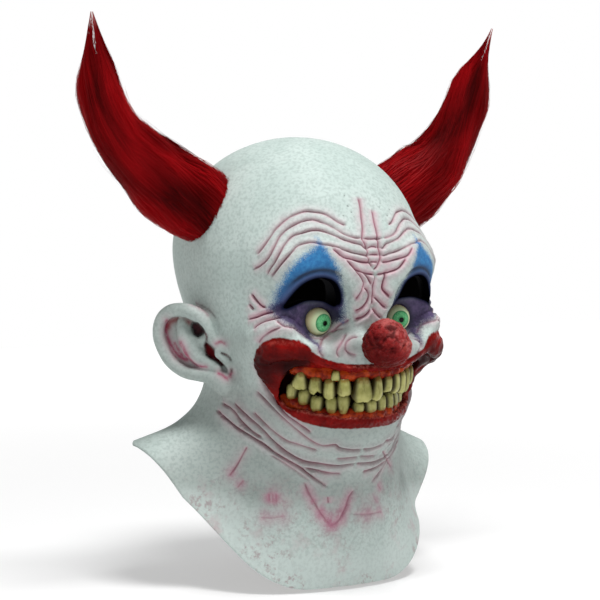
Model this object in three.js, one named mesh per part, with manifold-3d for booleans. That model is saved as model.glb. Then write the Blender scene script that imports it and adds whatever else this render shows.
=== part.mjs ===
// An overhead latex clown mask: a hollow head-and-neck skin with ears and a chest
// bib, a bulb nose, two domed eyes, two gum strips with crooked teeth, and two
// horn-shaped tufts of hair on the sides of the bald crown.
//
// Lengths are millimetres. The tables use the wearer's frame: x across (the wearer's
// left is +x), f forward, z up, measured from the middle of the cranium. The finished
// group has +Z up, the face towards -Y, and its origin under the crown, where the top
// of the wearer's head bears.

import * as THREE from "three";
import { mergeVertices } from "three/addons/utils/BufferGeometryUtils.js";
import Module from "manifold-3d";

const wasm = await Module();
wasm.setup();

// ---------------------------------------------------------------- driving sizes
const WALL = 2.5; // thickness of the latex skin
const GAP = 0.5; // glue gap between the skin and the pieces set on it
const COLUMNS = 52; // facets round the head, closer together on the face
const ROWS_OUTSIDE = 50; // facets from the crown to the edge of the bib
const ROWS_INSIDE = 16;
const FACE_CROWDING = 0.5; // 1 spaces the columns evenly, less draws them to the face
const REACH = { out: 22, in: 16 }; // how far the face's relief leaves the plain body

// Rounded masses that make the head, each melted into those before it over `blend`.
const FORMS = [
  { name: "cranium", x: 0, f: -9, z: 0, rx: 93, rf: 105, rz: 88, blend: 0 },
  { name: "face", x: 0, f: 12, z: -62, rx: 76, rf: 86, rz: 84, blend: 40 },
  { name: "cheek", x: 46, f: 58, z: -62, rx: 33, rf: 33, rz: 28, blend: 26 },
  { name: "muzzle", x: 0, f: 50, z: -104, rx: 42, rf: 46, rz: 36, blend: 20 },
  { name: "jaw", x: 0, f: 22, z: -112, rx: 64, rf: 62, rz: 38, blend: 26 },
  { name: "chin", x: 0, f: 62, z: -133, rx: 32, rf: 27, rz: 19, blend: 18 },
  { name: "brow", x: 30, f: 70, z: -8, rx: 36, rf: 25, rz: 16, blend: 30 },
];
const NECK = { top: [0, 4, -90], foot: [0, 0, -200], rTop: 66, rFoot: 72, blend: 26 };
const SHOULDER = { root: [40, -14, -146], tip: [146, -30, -186], rRoot: 30, rTip: 36, blend: 44 };
const CHEST = { x: 0, f: -18, z: -275, rx: 150, rf: 88, rz: 112, blend: 36 };

// The painted clown mouth stands up as one rolled ring, from the middle of the upper
// lip, over the lobe on the cheek, to the middle of the lower lip.
const LIP_ROLL = [
  { x: 0, f: 103, z: -86.5, r: 3.6 },
  { x: 15, f: 101.5, z: -86.5, r: 3.6 },
  { x: 28, f: 98.5, z: -84.5, r: 3.8 },
  { x: 38, f: 95, z: -80.5, r: 4.2 },
  { x: 47, f: 91, z: -75.5, r: 5.2 },
  { x: 55, f: 86.5, z: -71, r: 8 },
  { x: 62, f: 80.5, z: -70.5, r: 11 },
  { x: 67.5, f: 74.5, z: -75, r: 12 },
  { x: 67, f: 67.5, z: -84, r: 9 },
  { x: 62.5, f: 62, z: -91.5, r: 6.6 },
  { x: 57.5, f: 61, z: -98.5, r: 6.2 },
  { x: 53.5, f: 63.5, z: -105, r: 6.2 },
  { x: 48.5, f: 68, z: -111.5, r: 6.4 },
  { x: 42, f: 73.5, z: -116.5, r: 6.6 },
  { x: 33, f: 80, z: -120.5, r: 6.8 },
  { x: 22, f: 87, z: -123, r: 6.8 },
  { x: 11, f: 91.3, z: -124, r: 6.8 },
  { x: 0, f: 92.5, z: -124.3, r: 6.8 },
];
const LIP_BLEND = 5;
const MOUTH = { z: -104.5, lift: 6, liftAt: 50, halfHeight: 15, halfWidth: 58, round: 10, depth: 14 };

// Eye: a hollow under the brow with the wearer's sight hole in it, and below it a basin
// with a low pouch that carries the false eye. The wall is thicker behind the basin.
const SOCKET = { x: 43, f: 99, z: -33, rx: 22, rf: 15, rz: 15, blend: 10 };
const BASIN = { x: 40, f: 100, z: -50, rx: 25, rf: 22, rz: 15, blend: 8 };
const BASIN_BACK = { x: 40, f: 100, z: -50, rx: 33, rf: 31, rz: 23, blend: 16 };
const POUCH = { x: 39, f: 68, z: -52, rx: 20, rf: 13, rz: 12.5, blend: 6 };
const SIGHT_HOLE = [
  { x: 65, z: -38.5 },
  { x: 61, z: -29.5 },
  { x: 55, z: -21.5 },
  { x: 47.5, z: -17.5 },
  { x: 39.5, z: -17.3 },
  { x: 32, z: -21 },
  { x: 27, z: -29.5 },
  { x: 25.5, z: -38 },
  { x: 33, z: -34.5 },
  { x: 41, z: -33.3 },
  { x: 48.5, z: -33.5 },
  { x: 57, z: -36 },
];
const EYE = { x: 36, f: 79, z: -51.2, r: 10.3, back: 3.5, gazeDeg: -18, flare: 7 };

// The bib: |x| and z of its outline. The front edge falls from the shoulder tip to the
// chest, the back edge to a shorter flap. Behind the line that runs down from the tip
// round the front of the shoulder, the bib narrows towards the back.
const SHOULDER_TIP = { x: 136, z: -142 };
const FRONT_EDGE = { x: 78, z: -233, low: -250, round: 26 };
const BACK_EDGE = { x: 84, z: -205, low: -194, round: 24 };
const FRONT_LINE = { f: -27, perFall: 0.93, narrowing: 0.62 };
const EDGE_TURN = { f: -44, span: 28 }; // where the back edge gives way to the front one

// The soft bib hangs lower and closer on the wearer's left shoulder. `drop` and `draw` are
// how far; the rest is where it begins and the span over which it comes in.
const DRAPE = { drop: 15, draw: 5, fromX: 68, spanX: 42, fromZ: -105, spanZ: 45, lowZ: -240, spanLow: 55 };

const EAR = { x: 98.5, f: -1, z: -69, r: 30, rim: 4.2, depth: 10, wall: 4, leanDeg: 53, tall: 1.04 };
const EAR_ROOT = { x: 86, f: 10, z: -70, rx: 15, rf: 15, rz: 25 };

const NOSE = { f: 117.5, z: -64.4, r: 18.6, lump: 1.1 };

// Tufts of hair, as round sections along their run. The first row lies inside the
// head, so that the tuft is cut to the scalp.
const TUFT_RIGHT = [
  { x: -62, f: -8, z: 18, r: 29 },
  { x: -85, f: -8, z: 35, r: 31 },
  { x: -117, f: -7, z: 56, r: 28.6 },
  { x: -138, f: -6, z: 72, r: 25.4 },
  { x: -156, f: -5, z: 88, r: 20.5 },
  { x: -166, f: -4, z: 106, r: 17.2 },
  { x: -170.5, f: -4, z: 120, r: 16.4 },
  { x: -173, f: -3, z: 135, r: 13.7 },
  { x: -176, f: -2, z: 151, r: 8.5 },
  { x: -178.5, f: -1, z: 164, r: 4.1 },
  { x: -179.5, f: 0, z: 177, r: 0.9 },
];
const TUFT_LEFT = [
  { x: 62, f: -8, z: 18, r: 29 },
  { x: 85, f: -8, z: 35, r: 31 },
  { x: 120, f: -7, z: 56, r: 28.2 },
  { x: 139, f: -6, z: 73.5, r: 22.6 },
  { x: 151, f: -5, z: 92, r: 18.4 },
  { x: 159, f: -4, z: 110, r: 17.2 },
  { x: 167.5, f: -4, z: 130, r: 15 },
  { x: 171.5, f: -3, z: 143, r: 11.4 },
  { x: 178.5, f: -2, z: 156, r: 4.6 },
  { x: 183, f: -1, z: 169, r: 2.2 },
  { x: 186.5, f: 0, z: 180, r: 0.9 },
];

// Teeth along the dental arches: middle, width, root and biting edge of each. An arch
// is its middle's f and how far it falls back at x = at.
const UPPER_ARCH = { f: 105.5, drop: 29.3, at: 52 };
const LOWER_ARCH = { f: 98.5, drop: 39.2, at: 52 };
const UPPER_TEETH = [
  { x: -48.5, w: 11.4, root: -86.5, edge: -99.4 },
  { x: -40, w: 9.6, root: -90, edge: -102.7 },
  { x: -32.3, w: 8.4, root: -91.6, edge: -106 },
  { x: -23.2, w: 10.2, root: -91.4, edge: -104 },
  { x: -9.6, w: 14.8, root: -90, edge: -108.8 },
  { x: 1.5, w: 9, root: -90.5, edge: -107.8 },
  { x: 11.6, w: 8.4, root: -91, edge: -102.5 },
  { x: 20.5, w: 7.8, root: -89, edge: -104 },
  { x: 28, w: 8.3, root: -88, edge: -104.6 },
  { x: 36, w: 9.2, root: -86.6, edge: -104 },
  { x: 44.5, w: 10, root: -85.6, edge: -100 },
];
const LOWER_TEETH = [
  { x: -46.7, w: 8.8, root: -107.5, edge: -96.2 },
  { x: -41, w: 9.1, root: -111.5, edge: -100.3 },
  { x: -34.3, w: 9.4, root: -116.3, edge: -104.7 },
  { x: -26.6, w: 8.8, root: -116.8, edge: -104.9 },
  { x: -19.6, w: 9.7, root: -117.3, edge: -103.8 },
  { x: -8.9, w: 8.2, root: -116.5, edge: -109.6 },
  { x: 0.1, w: 9.2, root: -117, edge: -108.2 },
  { x: 10, w: 9.4, root: -117, edge: -105 },
  { x: 20, w: 9.5, root: -116.5, edge: -103.8 },
  { x: 28.5, w: 9.4, root: -115.5, edge: -104.3 },
  { x: 36, w: 9.4, root: -114, edge: -103.3 },
  { x: 43, w: 9, root: -111, edge: -100 },
];
const TOOTH_DEPTH = 7;
const UPPER_GUM = { arch: UPPER_ARCH, z: -87.5, lift: 1.5, halfWidth: 47 };
const LOWER_GUM = { arch: LOWER_ARCH, z: -119.5, lift: 10, halfWidth: 45 };
const GUM = { halfHeight: 6.5, halfDepth: 10.5, setBack: 9.5 };

// ---------------------------------------------------------------- implicit skin
// The first fifth of the rows covers the crown, the last fifth the bib.
const rowShare = (t) =>
  t < 0.2 ? (t / 0.2) * 0.3 : t < 0.82 ? 0.3 + ((t - 0.2) / 0.62) * 0.42 : 0.72 + ((t - 0.82) / 0.18) * 0.28;
const mix = (a, b, t) => a + (b - a) * t;
const clamp01 = (t) => Math.min(1, Math.max(0, t));
function meld(a, b, k) {
  if (!k) return Math.min(a, b);
  const h = Math.max(k - Math.abs(a - b), 0) / k;
  return Math.min(a, b) - (h * h * k) / 4;
}
const carve = (a, b, k) => -meld(-a, -b, k);

function ellipsoid(x, f, z, e) {
  const a = (x - e.x) / e.rx,
    b = (f - e.f) / e.rf,
    c = (z - e.z) / e.rz;
  const k0 = Math.hypot(a, b, c),
    k1 = Math.hypot(a / e.rx, b / e.rf, c / e.rz);
  return (k0 * (k0 - 1)) / Math.max(k1, 1e-9);
}

function limb(x, f, z, a, b, ra, rb) {
  const d = [b[0] - a[0], b[1] - a[1], b[2] - a[2]];
  const t = clamp01(
    ((x - a[0]) * d[0] + (f - a[1]) * d[1] + (z - a[2]) * d[2]) / (d[0] ** 2 + d[1] ** 2 + d[2] ** 2),
  );
  return Math.hypot(x - a[0] - t * d[0], f - a[1] - t * d[1], z - a[2] - t * d[2]) - mix(ra, rb, t);
}

function body(x, f, z) {
  let d = Infinity;
  for (const m of FORMS) {
    const e = ellipsoid(x, f, z, m);
    d = d === Infinity ? e : meld(d, e, m.blend);
  }
  d = meld(d, limb(x, f, z, NECK.top, NECK.foot, NECK.rTop, NECK.rFoot), NECK.blend);
  d = meld(d, limb(x, f, z, SHOULDER.root, SHOULDER.tip, SHOULDER.rRoot, SHOULDER.rTip), SHOULDER.blend);
  return meld(d, ellipsoid(x, f, z, CHEST), CHEST.blend);
}

function lipRoll(x, f, z) {
  let d = Infinity;
  for (let i = 0; i + 1 < LIP_ROLL.length; i++) {
    const a = LIP_ROLL[i],
      b = LIP_ROLL[i + 1];
    d = Math.min(d, limb(x, f, z, [a.x, a.f, a.z], [b.x, b.f, b.z], a.r, b.r));
  }
  return d;
}

// The mouth opening, recessed behind the lips by its depth; `grown` widens it.
function mouthCut(x, z, plain, grown) {
  const middle = MOUTH.z + MOUTH.lift * (x / MOUTH.liftAt) ** 2;
  const inMouth = carve(
    Math.abs(z - middle) - MOUTH.halfHeight - grown,
    x - MOUTH.halfWidth - grown,
    MOUTH.round,
  );
  return Math.max(inMouth, -(plain + MOUTH.depth));
}

// Signed distance to the outside of the skin before it is draped, negative inside.
function skin(sideways, f, z) {
  const x = Math.abs(sideways);
  const plain = body(x, f, z);
  let d = plain;
  if (f > 30 && z > -160 && z < -40) {
    d = meld(d, lipRoll(x, f, z), LIP_BLEND);
    d = carve(d, -mouthCut(x, z, plain, 0), 4);
  }
  if (f > 30 && z > -80 && z < 20) {
    d = carve(d, -ellipsoid(x, f, z, SOCKET), SOCKET.blend);
    d = carve(d, -ellipsoid(x, f, z, BASIN), BASIN.blend);
    d = meld(d, ellipsoid(x, f, z, POUCH), POUCH.blend);
  }
  return d;
}

// The same for the inside of the wall, which is smoother: it follows the hollows of
// the face but not the rolls of the lips.
function lining(sideways, f, z) {
  const x = Math.abs(sideways);
  const plain = body(x, f, z);
  let d = plain;
  if (f > 20) {
    d = carve(d, -mouthCut(x, z, plain, 7), 6);
    d = carve(d, -ellipsoid(x, f, z, SOCKET), SOCKET.blend * 2);
    d = carve(d, -ellipsoid(x, f, z, BASIN_BACK), BASIN_BACK.blend);
  }
  return d + WALL;
}

// Positive outside the outline of the bib.
function beyondEdge(sideways, f, z) {
  const frontLine = FRONT_LINE.f - FRONT_LINE.perFall * (z - SHOULDER_TIP.z);
  const x = Math.abs(sideways) + FRONT_LINE.narrowing * Math.max(frontLine - f, 0);
  const edge = (e) => {
    const dx = e.x - SHOULDER_TIP.x,
      dz = e.z - SHOULDER_TIP.z,
      l = Math.hypot(dx, dz);
    return carve(((x - SHOULDER_TIP.x) * -dz + (z - SHOULDER_TIP.z) * dx) / l, e.low - z, e.round);
  };
  const t = clamp01((f - EDGE_TURN.f) / EDGE_TURN.span);
  return mix(edge(BACK_EDGE), edge(FRONT_EDGE), t * t * (3 - 2 * t));
}

const ease = (t) => clamp01(t) ** 2 * (3 - 2 * clamp01(t));
function drape([x, f, z]) {
  const share =
    ease((x - DRAPE.fromX) / DRAPE.spanX) *
    ease((DRAPE.fromZ - z) / DRAPE.spanZ) *
    ease((z - DRAPE.lowZ) / DRAPE.spanLow);
  return [x - DRAPE.draw * share, f, z - DRAPE.drop * share];
}

// ---------------------------------------------------------------- skin to facets
// Walks one profile of the plain body, in the upright half-plane at `azimuth`, from the
// crown to the edge of the bib, and returns its points as [radius, z].
function profile(azimuth) {
  const sx = Math.sin(azimuth),
    sf = Math.cos(azimuth),
    h = 0.05,
    step = 1.5;
  const at = (r, z) => body(Math.abs(r * sx), r * sf, z);
  let low = 0,
    high = 150;
  for (let i = 0; i < 50; i++) {
    const middle = (low + high) / 2;
    if (at(0, middle) < 0) low = middle;
    else high = middle;
  }
  const points = [[0, low]];
  let r = 0,
    z = low,
    along = [1, 0];
  for (let i = 0; i < 900; i++) {
    r += along[0] * step;
    z += along[1] * step;
    let g = [0, 1];
    for (let k = 0; k < 4; k++) {
      g = [(at(r + h, z) - at(r - h, z)) / (2 * h), (at(r, z + h) - at(r, z - h)) / (2 * h)];
      const over = at(r, z) / Math.max(g[0] ** 2 + g[1] ** 2, 0.05);
      r -= over * g[0];
      z -= over * g[1];
    }
    const l = Math.hypot(g[0], g[1]);
    along = [g[1] / l, -g[0] / l];
    const past = beyondEdge(r * sx, r * sf, z);
    if (past > 0) {
      const [r0, z0] = points[points.length - 1],
        before = beyondEdge(r0 * sx, r0 * sf, z0),
        t = before / (before - past);
      points.push([mix(r0, r, t), mix(z0, z, t)]);
      break;
    }
    points.push([r, z]);
  }
  return points;
}

// Even shares of a profile's length, with more of them over the face.
function spread(points, rows) {
  const lengths = [0];
  for (let i = 1; i < points.length; i++)
    lengths.push(lengths[i - 1] + Math.hypot(points[i][0] - points[i - 1][0], points[i][1] - points[i - 1][1]));
  const found = [];
  let k = 0;
  for (let i = 1; i <= rows; i++) {
    const want = rowShare(i / rows) * lengths[lengths.length - 1];
    while (k + 2 < lengths.length && lengths[k + 1] < want) k++;
    const t = clamp01((want - lengths[k]) / (lengths[k + 1] - lengths[k]));
    found.push([mix(points[k][0], points[k + 1][0], t), mix(points[k][1], points[k + 1][1], t)]);
  }
  return found;
}

// Slides a point of the plain body along its normal, from outside, onto a surface.
function settle([x, f, z], surface) {
  const h = 0.05,
    g = [
      body(Math.abs(x + h), f, z) - body(Math.abs(x - h), f, z),
      body(Math.abs(x), f + h, z) - body(Math.abs(x), f - h, z),
      body(Math.abs(x), f, z + h) - body(Math.abs(x), f, z - h),
    ],
    l = Math.hypot(...g),
    n = g.map((c) => c / l);
  const at = (t) => surface(x + t * n[0], f + t * n[1], z + t * n[2]);
  let high = REACH.out,
    low = high;
  while (low > -REACH.in && at(low) > 0) {
    high = low;
    low -= 0.5;
  }
  for (let i = 0; i < 20; i++) {
    const middle = (low + high) / 2;
    if (at(middle) > 0) high = middle;
    else low = middle;
  }
  return [x + low * n[0], f + low * n[1], z + low * n[2]];
}

const azimuths = Array.from({ length: COLUMNS }, (_, i) => {
  const s = (2 * i) / COLUMNS - 1;
  return Math.PI * (FACE_CROWDING * s + (1 - FACE_CROWDING) * s ** 3);
});
const profiles = azimuths.map(profile);

// Rings of points on a surface, after its crown point.
function rings(surface, rows) {
  const columns = profiles.map((walked, i) =>
    spread(walked, rows).map(([r, z]) =>
      settle([r * Math.sin(azimuths[i]), r * Math.cos(azimuths[i]), z], surface),
    ),
  );
  return {
    crown: settle([0, 0, profiles[0][0][1]], surface),
    rings: Array.from({ length: rows }, (_, i) => columns.map((c) => c[i])),
  };
}

// From the wearer's frame to the group's: the face looks along -Y.
const placed = ([x, f, z]) => [x, -f, z];

class Facets {
  constructor() {
    this.points = [];
    this.faces = [];
  }
  point(p) {
    this.points.push(...placed(p));
    return this.points.length / 3 - 1;
  }
  ring(points) {
    return points.map((p) => this.point(p));
  }
  fan(tip, ring) {
    ring.forEach((a, i) => this.faces.push(tip, a, ring[(i + 1) % ring.length]));
  }
  fanBack(tip, ring) {
    ring.forEach((a, i) => this.faces.push(tip, ring[(i + 1) % ring.length], a));
  }
  strip(upper, lower) {
    upper.forEach((a, i) => {
      const j = (i + 1) % upper.length,
        b = upper[j],
        c = lower[i],
        d = lower[j];
      const span = (m, n) =>
        Math.hypot(...[0, 1, 2].map((k) => this.points[3 * m + k] - this.points[3 * n + k]));
      if (span(a, d) < span(b, c)) this.faces.push(a, c, d, a, d, b);
      else this.faces.push(a, c, b, b, c, d);
    });
  }
  geometry() {
    let volume = 0;
    const v = (i) => new THREE.Vector3(...this.points.slice(3 * i, 3 * i + 3));
    for (let i = 0; i < this.faces.length; i += 3)
      volume += v(this.faces[i]).dot(v(this.faces[i + 1]).cross(v(this.faces[i + 2])));
    const faces = volume < 0 ? [...this.faces].reverse() : this.faces;
    return new THREE.BufferGeometry()
      .setAttribute("position", new THREE.Float32BufferAttribute(this.points, 3))
      .setIndex(faces);
  }
}

// ---------------------------------------------------------------- joins and cuts
function solid(geometry) {
  const g = geometry.clone();
  for (const name of Object.keys(g.attributes)) if (name !== "position") g.deleteAttribute(name);
  const merged = mergeVertices(g, 1e-3);
  return new wasm.Manifold(
    new wasm.Mesh({
      numProp: 3,
      vertProperties: new Float32Array(merged.attributes.position.array),
      triVerts: new Uint32Array(merged.index.array),
    }),
  );
}

function geometryOf(made) {
  const m = made.getMesh();
  return new THREE.BufferGeometry()
    .setAttribute("position", new THREE.BufferAttribute(new Float32Array(m.vertProperties), 3))
    .setIndex(new THREE.BufferAttribute(new Uint32Array(m.triVerts), 1));
}

// The wall of the skin: outside, inside, and the cut edge of the bib.
function skinWall() {
  const out = rings(skin, ROWS_OUTSIDE),
    inn = rings(lining, ROWS_INSIDE),
    wall = new Facets();
  const outer = out.rings.map((r) => wall.ring(r.map(drape))),
    inner = inn.rings.map((r) => wall.ring(r.map(drape)));
  wall.fan(wall.point(out.crown), outer[0]);
  for (let i = 0; i + 1 < outer.length; i++) wall.strip(outer[i], outer[i + 1]);
  wall.strip(outer[outer.length - 1], inner[inner.length - 1]);
  for (let i = inner.length - 1; i > 0; i--) wall.strip(inner[i], inner[i - 1]);
  wall.fanBack(wall.point(inn.crown), inner[0]);
  return solid(wall.geometry());
}

// Everything inside an offset of the skin, down to the neck, as one solid.
function filled(level) {
  const all = rings((x, f, z) => skin(x, f, z) - level, ROWS_OUTSIDE),
    kept = all.rings.filter((_, i) => i < ROWS_OUTSIDE * 0.84),
    f = new Facets();
  const made = kept.map((r) => f.ring(r));
  f.fan(f.point(all.crown), made[0]);
  for (let i = 0; i + 1 < made.length; i++) f.strip(made[i], made[i + 1]);
  f.fanBack(f.point([0, 0, -140]), made[made.length - 1]);
  return solid(f.geometry());
}

// A round-sectioned run through rows of x, f, z and r.
function run(rowsOfRun, sides) {
  const f = new Facets();
  const at = (i) => new THREE.Vector3(rowsOfRun[i].x, rowsOfRun[i].f, rowsOfRun[i].z);
  let across = new THREE.Vector3(0, 1, 0);
  const made = rowsOfRun.map((row, i) => {
    const along = at(Math.min(i + 1, rowsOfRun.length - 1)).sub(at(Math.max(i - 1, 0))).normalize();
    across = across.clone().addScaledVector(along, -across.dot(along)).normalize();
    const up = along.clone().cross(across);
    return f.ring(
      Array.from({ length: sides }, (_, k) => {
        const a = (2 * Math.PI * k) / sides;
        return at(i)
          .addScaledVector(across, Math.cos(a) * row.r * (row.flat ?? 1))
          .addScaledVector(up, Math.sin(a) * row.r)
          .toArray();
      }),
    );
  });
  f.fan(f.point(at(0).toArray()), made[0]);
  for (let i = 0; i + 1 < made.length; i++) f.strip(made[i], made[i + 1]);
  f.fanBack(f.point(at(rowsOfRun.length - 1).toArray()), made[made.length - 1]);
  return f.geometry();
}

// The rows of a run again, more of them, on a smooth curve through the first ones.
function flowing(rowsOfRun, count) {
  const path = new THREE.CatmullRomCurve3(rowsOfRun.map((p) => new THREE.Vector3(p.x, p.f, p.z)));
  const radii = new THREE.CatmullRomCurve3(rowsOfRun.map((p, i) => new THREE.Vector3(i, p.r, 0)));
  return Array.from({ length: count }, (_, i) => {
    const at = path.getPoint(i / (count - 1));
    return { x: at.x, f: at.y, z: at.z, r: radii.getPoint(i / (count - 1)).y };
  });
}

// ---------------------------------------------------------------- the pieces
const TUFT_RINGS = 21;
const scalp = filled(GAP); // what the pieces set on open skin are cut to
const outside = filled(0);
const hollow = filled(-WALL / 2); // half-way into the wall, where the ears grow from it

function earSolid(side) {
  const lean = (EAR.leanDeg * Math.PI) / 180;
  const bowl = new THREE.LatheGeometry(
    [
      [0, -EAR.depth],
      [EAR.r * 0.5, -EAR.depth * 0.86],
      [EAR.r * 0.84, -EAR.depth * 0.36],
      [EAR.r - EAR.rim * 0.4, EAR.rim * 0.1],
      [EAR.r, EAR.rim * 0.9],
      [EAR.r + EAR.rim * 0.5, EAR.rim * 0.6],
      [EAR.r + EAR.rim * 0.6, -EAR.rim * 0.5],
      [EAR.r * 0.92, -EAR.depth * 0.6 - EAR.wall * 0.6],
      [EAR.r * 0.55, -EAR.depth - EAR.wall],
      [0, -EAR.depth - EAR.wall * 1.2],
    ]
      .reverse()
      .map(([r, y]) => new THREE.Vector2(r, y)),
    20,
  );
  bowl.scale(1, 1, EAR.tall);
  bowl.rotateX(Math.PI / 2); // its open face now looks along +Z, its height along -Y
  bowl.applyMatrix4(
    new THREE.Matrix4().makeBasis(
      new THREE.Vector3(side * Math.cos(lean), Math.sin(lean), 0),
      new THREE.Vector3(0, 0, side),
      new THREE.Vector3(side * Math.sin(lean), -Math.cos(lean), 0).multiplyScalar(1),
    ),
  );
  bowl.translate(side * EAR.x, -EAR.f, EAR.z);
  const root = new THREE.SphereGeometry(1, 12, 8)
    .scale(EAR_ROOT.rx, EAR_ROOT.rf, EAR_ROOT.rz)
    .translate(side * EAR_ROOT.x, -EAR_ROOT.f, EAR_ROOT.z);
  let ear = solid(bowl);
  if (ear.volume() < 0) throw new Error("the ear bowl is inside out");
  const dish = new THREE.SphereGeometry(1, 12, 8)
    .scale(EAR.r * 0.62, EAR.r * 0.62, EAR.r * 0.62)
    .translate(
      side * (EAR.x + Math.sin(lean) * EAR.depth * 1.05),
      -EAR.f - Math.cos(lean) * EAR.depth * 1.05,
      EAR.z,
    );
  ear = ear.add(solid(root).subtract(solid(dish)));
  return ear.subtract(hollow);
}

function sightHole(side) {
  const outline = new THREE.Shape(
    new THREE.SplineCurve(
      [...SIGHT_HOLE, SIGHT_HOLE[0]].map((p) => new THREE.Vector2(side * p.x, p.z)),
    ).getPoints(14),
  );
  return solid(
    new THREE.ExtrudeGeometry(outline, { depth: 70, bevelEnabled: false })
      .rotateX(Math.PI / 2)
      .translate(0, -60, 0),
  );
}

// The round opening that the false eye sits in, flared towards the front.
function pocket(side) {
  const ball = (forward) =>
    solid(
      new THREE.IcosahedronGeometry(EYE.r + 0.7, 3)
        .rotateZ(0.13)
        .translate(side * EYE.x, -EYE.f - forward, EYE.z),
    );
  return ball(0).add(ball(EYE.flare));
}

const largest = (made) => made.decompose().sort((a, b) => b.volume() - a.volume())[0];

// Behind the teeth the recess has a wall of its own, clear of the larger facets of the inside.
const MOUTH_WALL = { thick: 1.8, halfWidth: 53, top: -84, foot: -105, front: 90, behind: 50 };

function withMouthWall(wall) {
  const { thick, halfWidth, top, foot, front, behind } = MOUTH_WALL;
  const block = solid(
    new THREE.BoxGeometry(2 * halfWidth, front - behind, top - foot).translate(
      0,
      -(front + behind) / 2,
      (top + foot) / 2,
    ),
  );
  let deeper = outside.translate([0, thick, 0]);
  for (const way of [thick, -thick]) deeper = deeper.intersect(outside.translate([0, 0, way]));
  return wall.add(block.intersect(outside).subtract(deeper)).subtract(block.subtract(outside));
}

let shell = largest(withMouthWall(skinWall()));
for (const side of [-1, 1]) shell = shell.add(earSolid(side));
for (const side of [-1, 1]) shell = shell.subtract(sightHole(side)).subtract(pocket(side));

function eyeDome() {
  const turn = Math.asin(EYE.back / EYE.r),
    steps = 9;
  const arc = Array.from({ length: steps + 1 }, (_, i) => {
    const a = -turn + ((Math.PI / 2 + turn) * i) / steps;
    return new THREE.Vector2(i === steps ? 0 : EYE.r * Math.cos(a), EYE.r * Math.sin(a));
  });
  return new THREE.LatheGeometry([new THREE.Vector2(0, -EYE.back), ...arc], 22);
}

function noseSolid() {
  const g = new THREE.IcosahedronGeometry(NOSE.r, 4);
  const p = g.attributes.position;
  for (let i = 0; i < p.count; i++) {
    const v = new THREE.Vector3().fromBufferAttribute(p, i);
    const lump = Math.sin(v.x * 0.42 + 0.8) * Math.sin(v.y * 0.38 + 1.7) * Math.sin(v.z * 0.45 + 0.4);
    v.setLength(NOSE.r + NOSE.lump * lump);
    p.setXYZ(i, v.x, v.y, v.z);
  }
  return solid(g.translate(0, -NOSE.f, NOSE.z)).subtract(scalp);
}

// The mouth has steep walls, so its gap is kept on each side of them as well as in front.
const MOUTH_CLEARANCES = [
  [0, -GAP, 0],
  [GAP, 0, 0],
  [-GAP, 0, 0],
  [0, 0, GAP],
  [0, 0, -GAP],
];
const archF = (arch, x) => arch.f - arch.drop * (x / arch.at) ** 2;

function tooth({ x, w, root, edge }, arch, grow) {
  const round = (c) => Math.sign(c) * Math.abs(c) ** 0.62;
  const g = new THREE.SphereGeometry(1, 8, 6);
  const p = g.attributes.position;
  for (let i = 0; i < p.count; i++)
    p.setXYZ(
      i,
      round(p.getX(i)) * (w / 2 + grow) * (p.getY(i) * Math.sign(root - edge) > 0 ? 0.86 : 1),
      round(p.getY(i)) * (Math.abs(root - edge) / 2 + grow),
      round(p.getZ(i)) * (TOOTH_DEPTH / 2 + grow),
    );
  return solid(
    g
      .rotateX(Math.PI / 2)
      .rotateZ(Math.atan((2 * arch.drop * x) / arch.at ** 2))
      .translate(x, -(archF(arch, x) - TOOTH_DEPTH / 2), (root + edge) / 2),
  );
}

function gum({ arch, z, lift, halfWidth }) {
  const rows = [];
  for (let i = -7; i <= 7; i++) {
    const x = (halfWidth * i) / 7;
    rows.push({
      x,
      f: archF(arch, x) - GUM.setBack,
      z: z + lift * (x / MOUTH.liftAt) ** 2,
      r: GUM.halfHeight * (Math.abs(i) === 7 ? 0.55 : 1),
      flat: GUM.halfDepth / GUM.halfHeight,
    });
  }
  return solid(run(rows, 8));
}

function teethOn(table, strip) {
  let made = gum(strip);
  for (const row of table) made = made.add(tooth(row, strip.arch, 0));
  for (const way of MOUTH_CLEARANCES) made = made.subtract(outside.translate(way));
  return made;
}

const upperTeeth = largest(teethOn(UPPER_TEETH, UPPER_GUM));
let lowerTeeth = teethOn(LOWER_TEETH, LOWER_GUM);
for (const row of UPPER_TEETH) lowerTeeth = lowerTeeth.subtract(tooth(row, UPPER_ARCH, 0.4));
lowerTeeth = largest(lowerTeeth);

const nose = largest(noseSolid());
const tuft = (table) => largest(solid(run(flowing(table, TUFT_RINGS), 14)).subtract(scalp));

// ---------------------------------------------------------------- the group
const look = (color, roughness) => new THREE.MeshStandardMaterial({ color, roughness, metalness: 0 });
const latexWhite = look(0xd3ddd8, 0.62),
  noseRed = look(0x9c1f1e, 0.5),
  eyeCream = look(0xcfd8a4, 0.2),
  toothYellow = look(0xb9b067, 0.35),
  hairRed = look(0x8f0a10, 0.7);

const mask = new THREE.Group();
const assembly = new THREE.Group();
const crownInside = rings(lining, 1).crown[2];
assembly.position.z = -crownInside;
mask.add(assembly);

function set(name, geometry, material) {
  const mesh = new THREE.Mesh(geometry, material);
  mesh.name = name;
  assembly.add(mesh);
  return mesh;
}

set("latex_shell", geometryOf(shell), latexWhite);
set("nose", geometryOf(nose), noseRed);
set("upper_teeth", geometryOf(upperTeeth), toothYellow);
set("lower_teeth", geometryOf(lowerTeeth), toothYellow);
set("hair_tuft_right", geometryOf(tuft(TUFT_RIGHT)), hairRed);
set("hair_tuft_left", geometryOf(tuft(TUFT_LEFT)), hairRed);
for (const [name, side] of [
  ["eye_right", -1],
  ["eye_left", 1],
]) {
  const dome = set(name, eyeDome(), eyeCream);
  dome.position.set(side * EYE.x, -EYE.f, EYE.z);
  dome.rotation.z = Math.PI + (EYE.gazeDeg * Math.PI) / 180;
}

export default mask;
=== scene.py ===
import math

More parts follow.
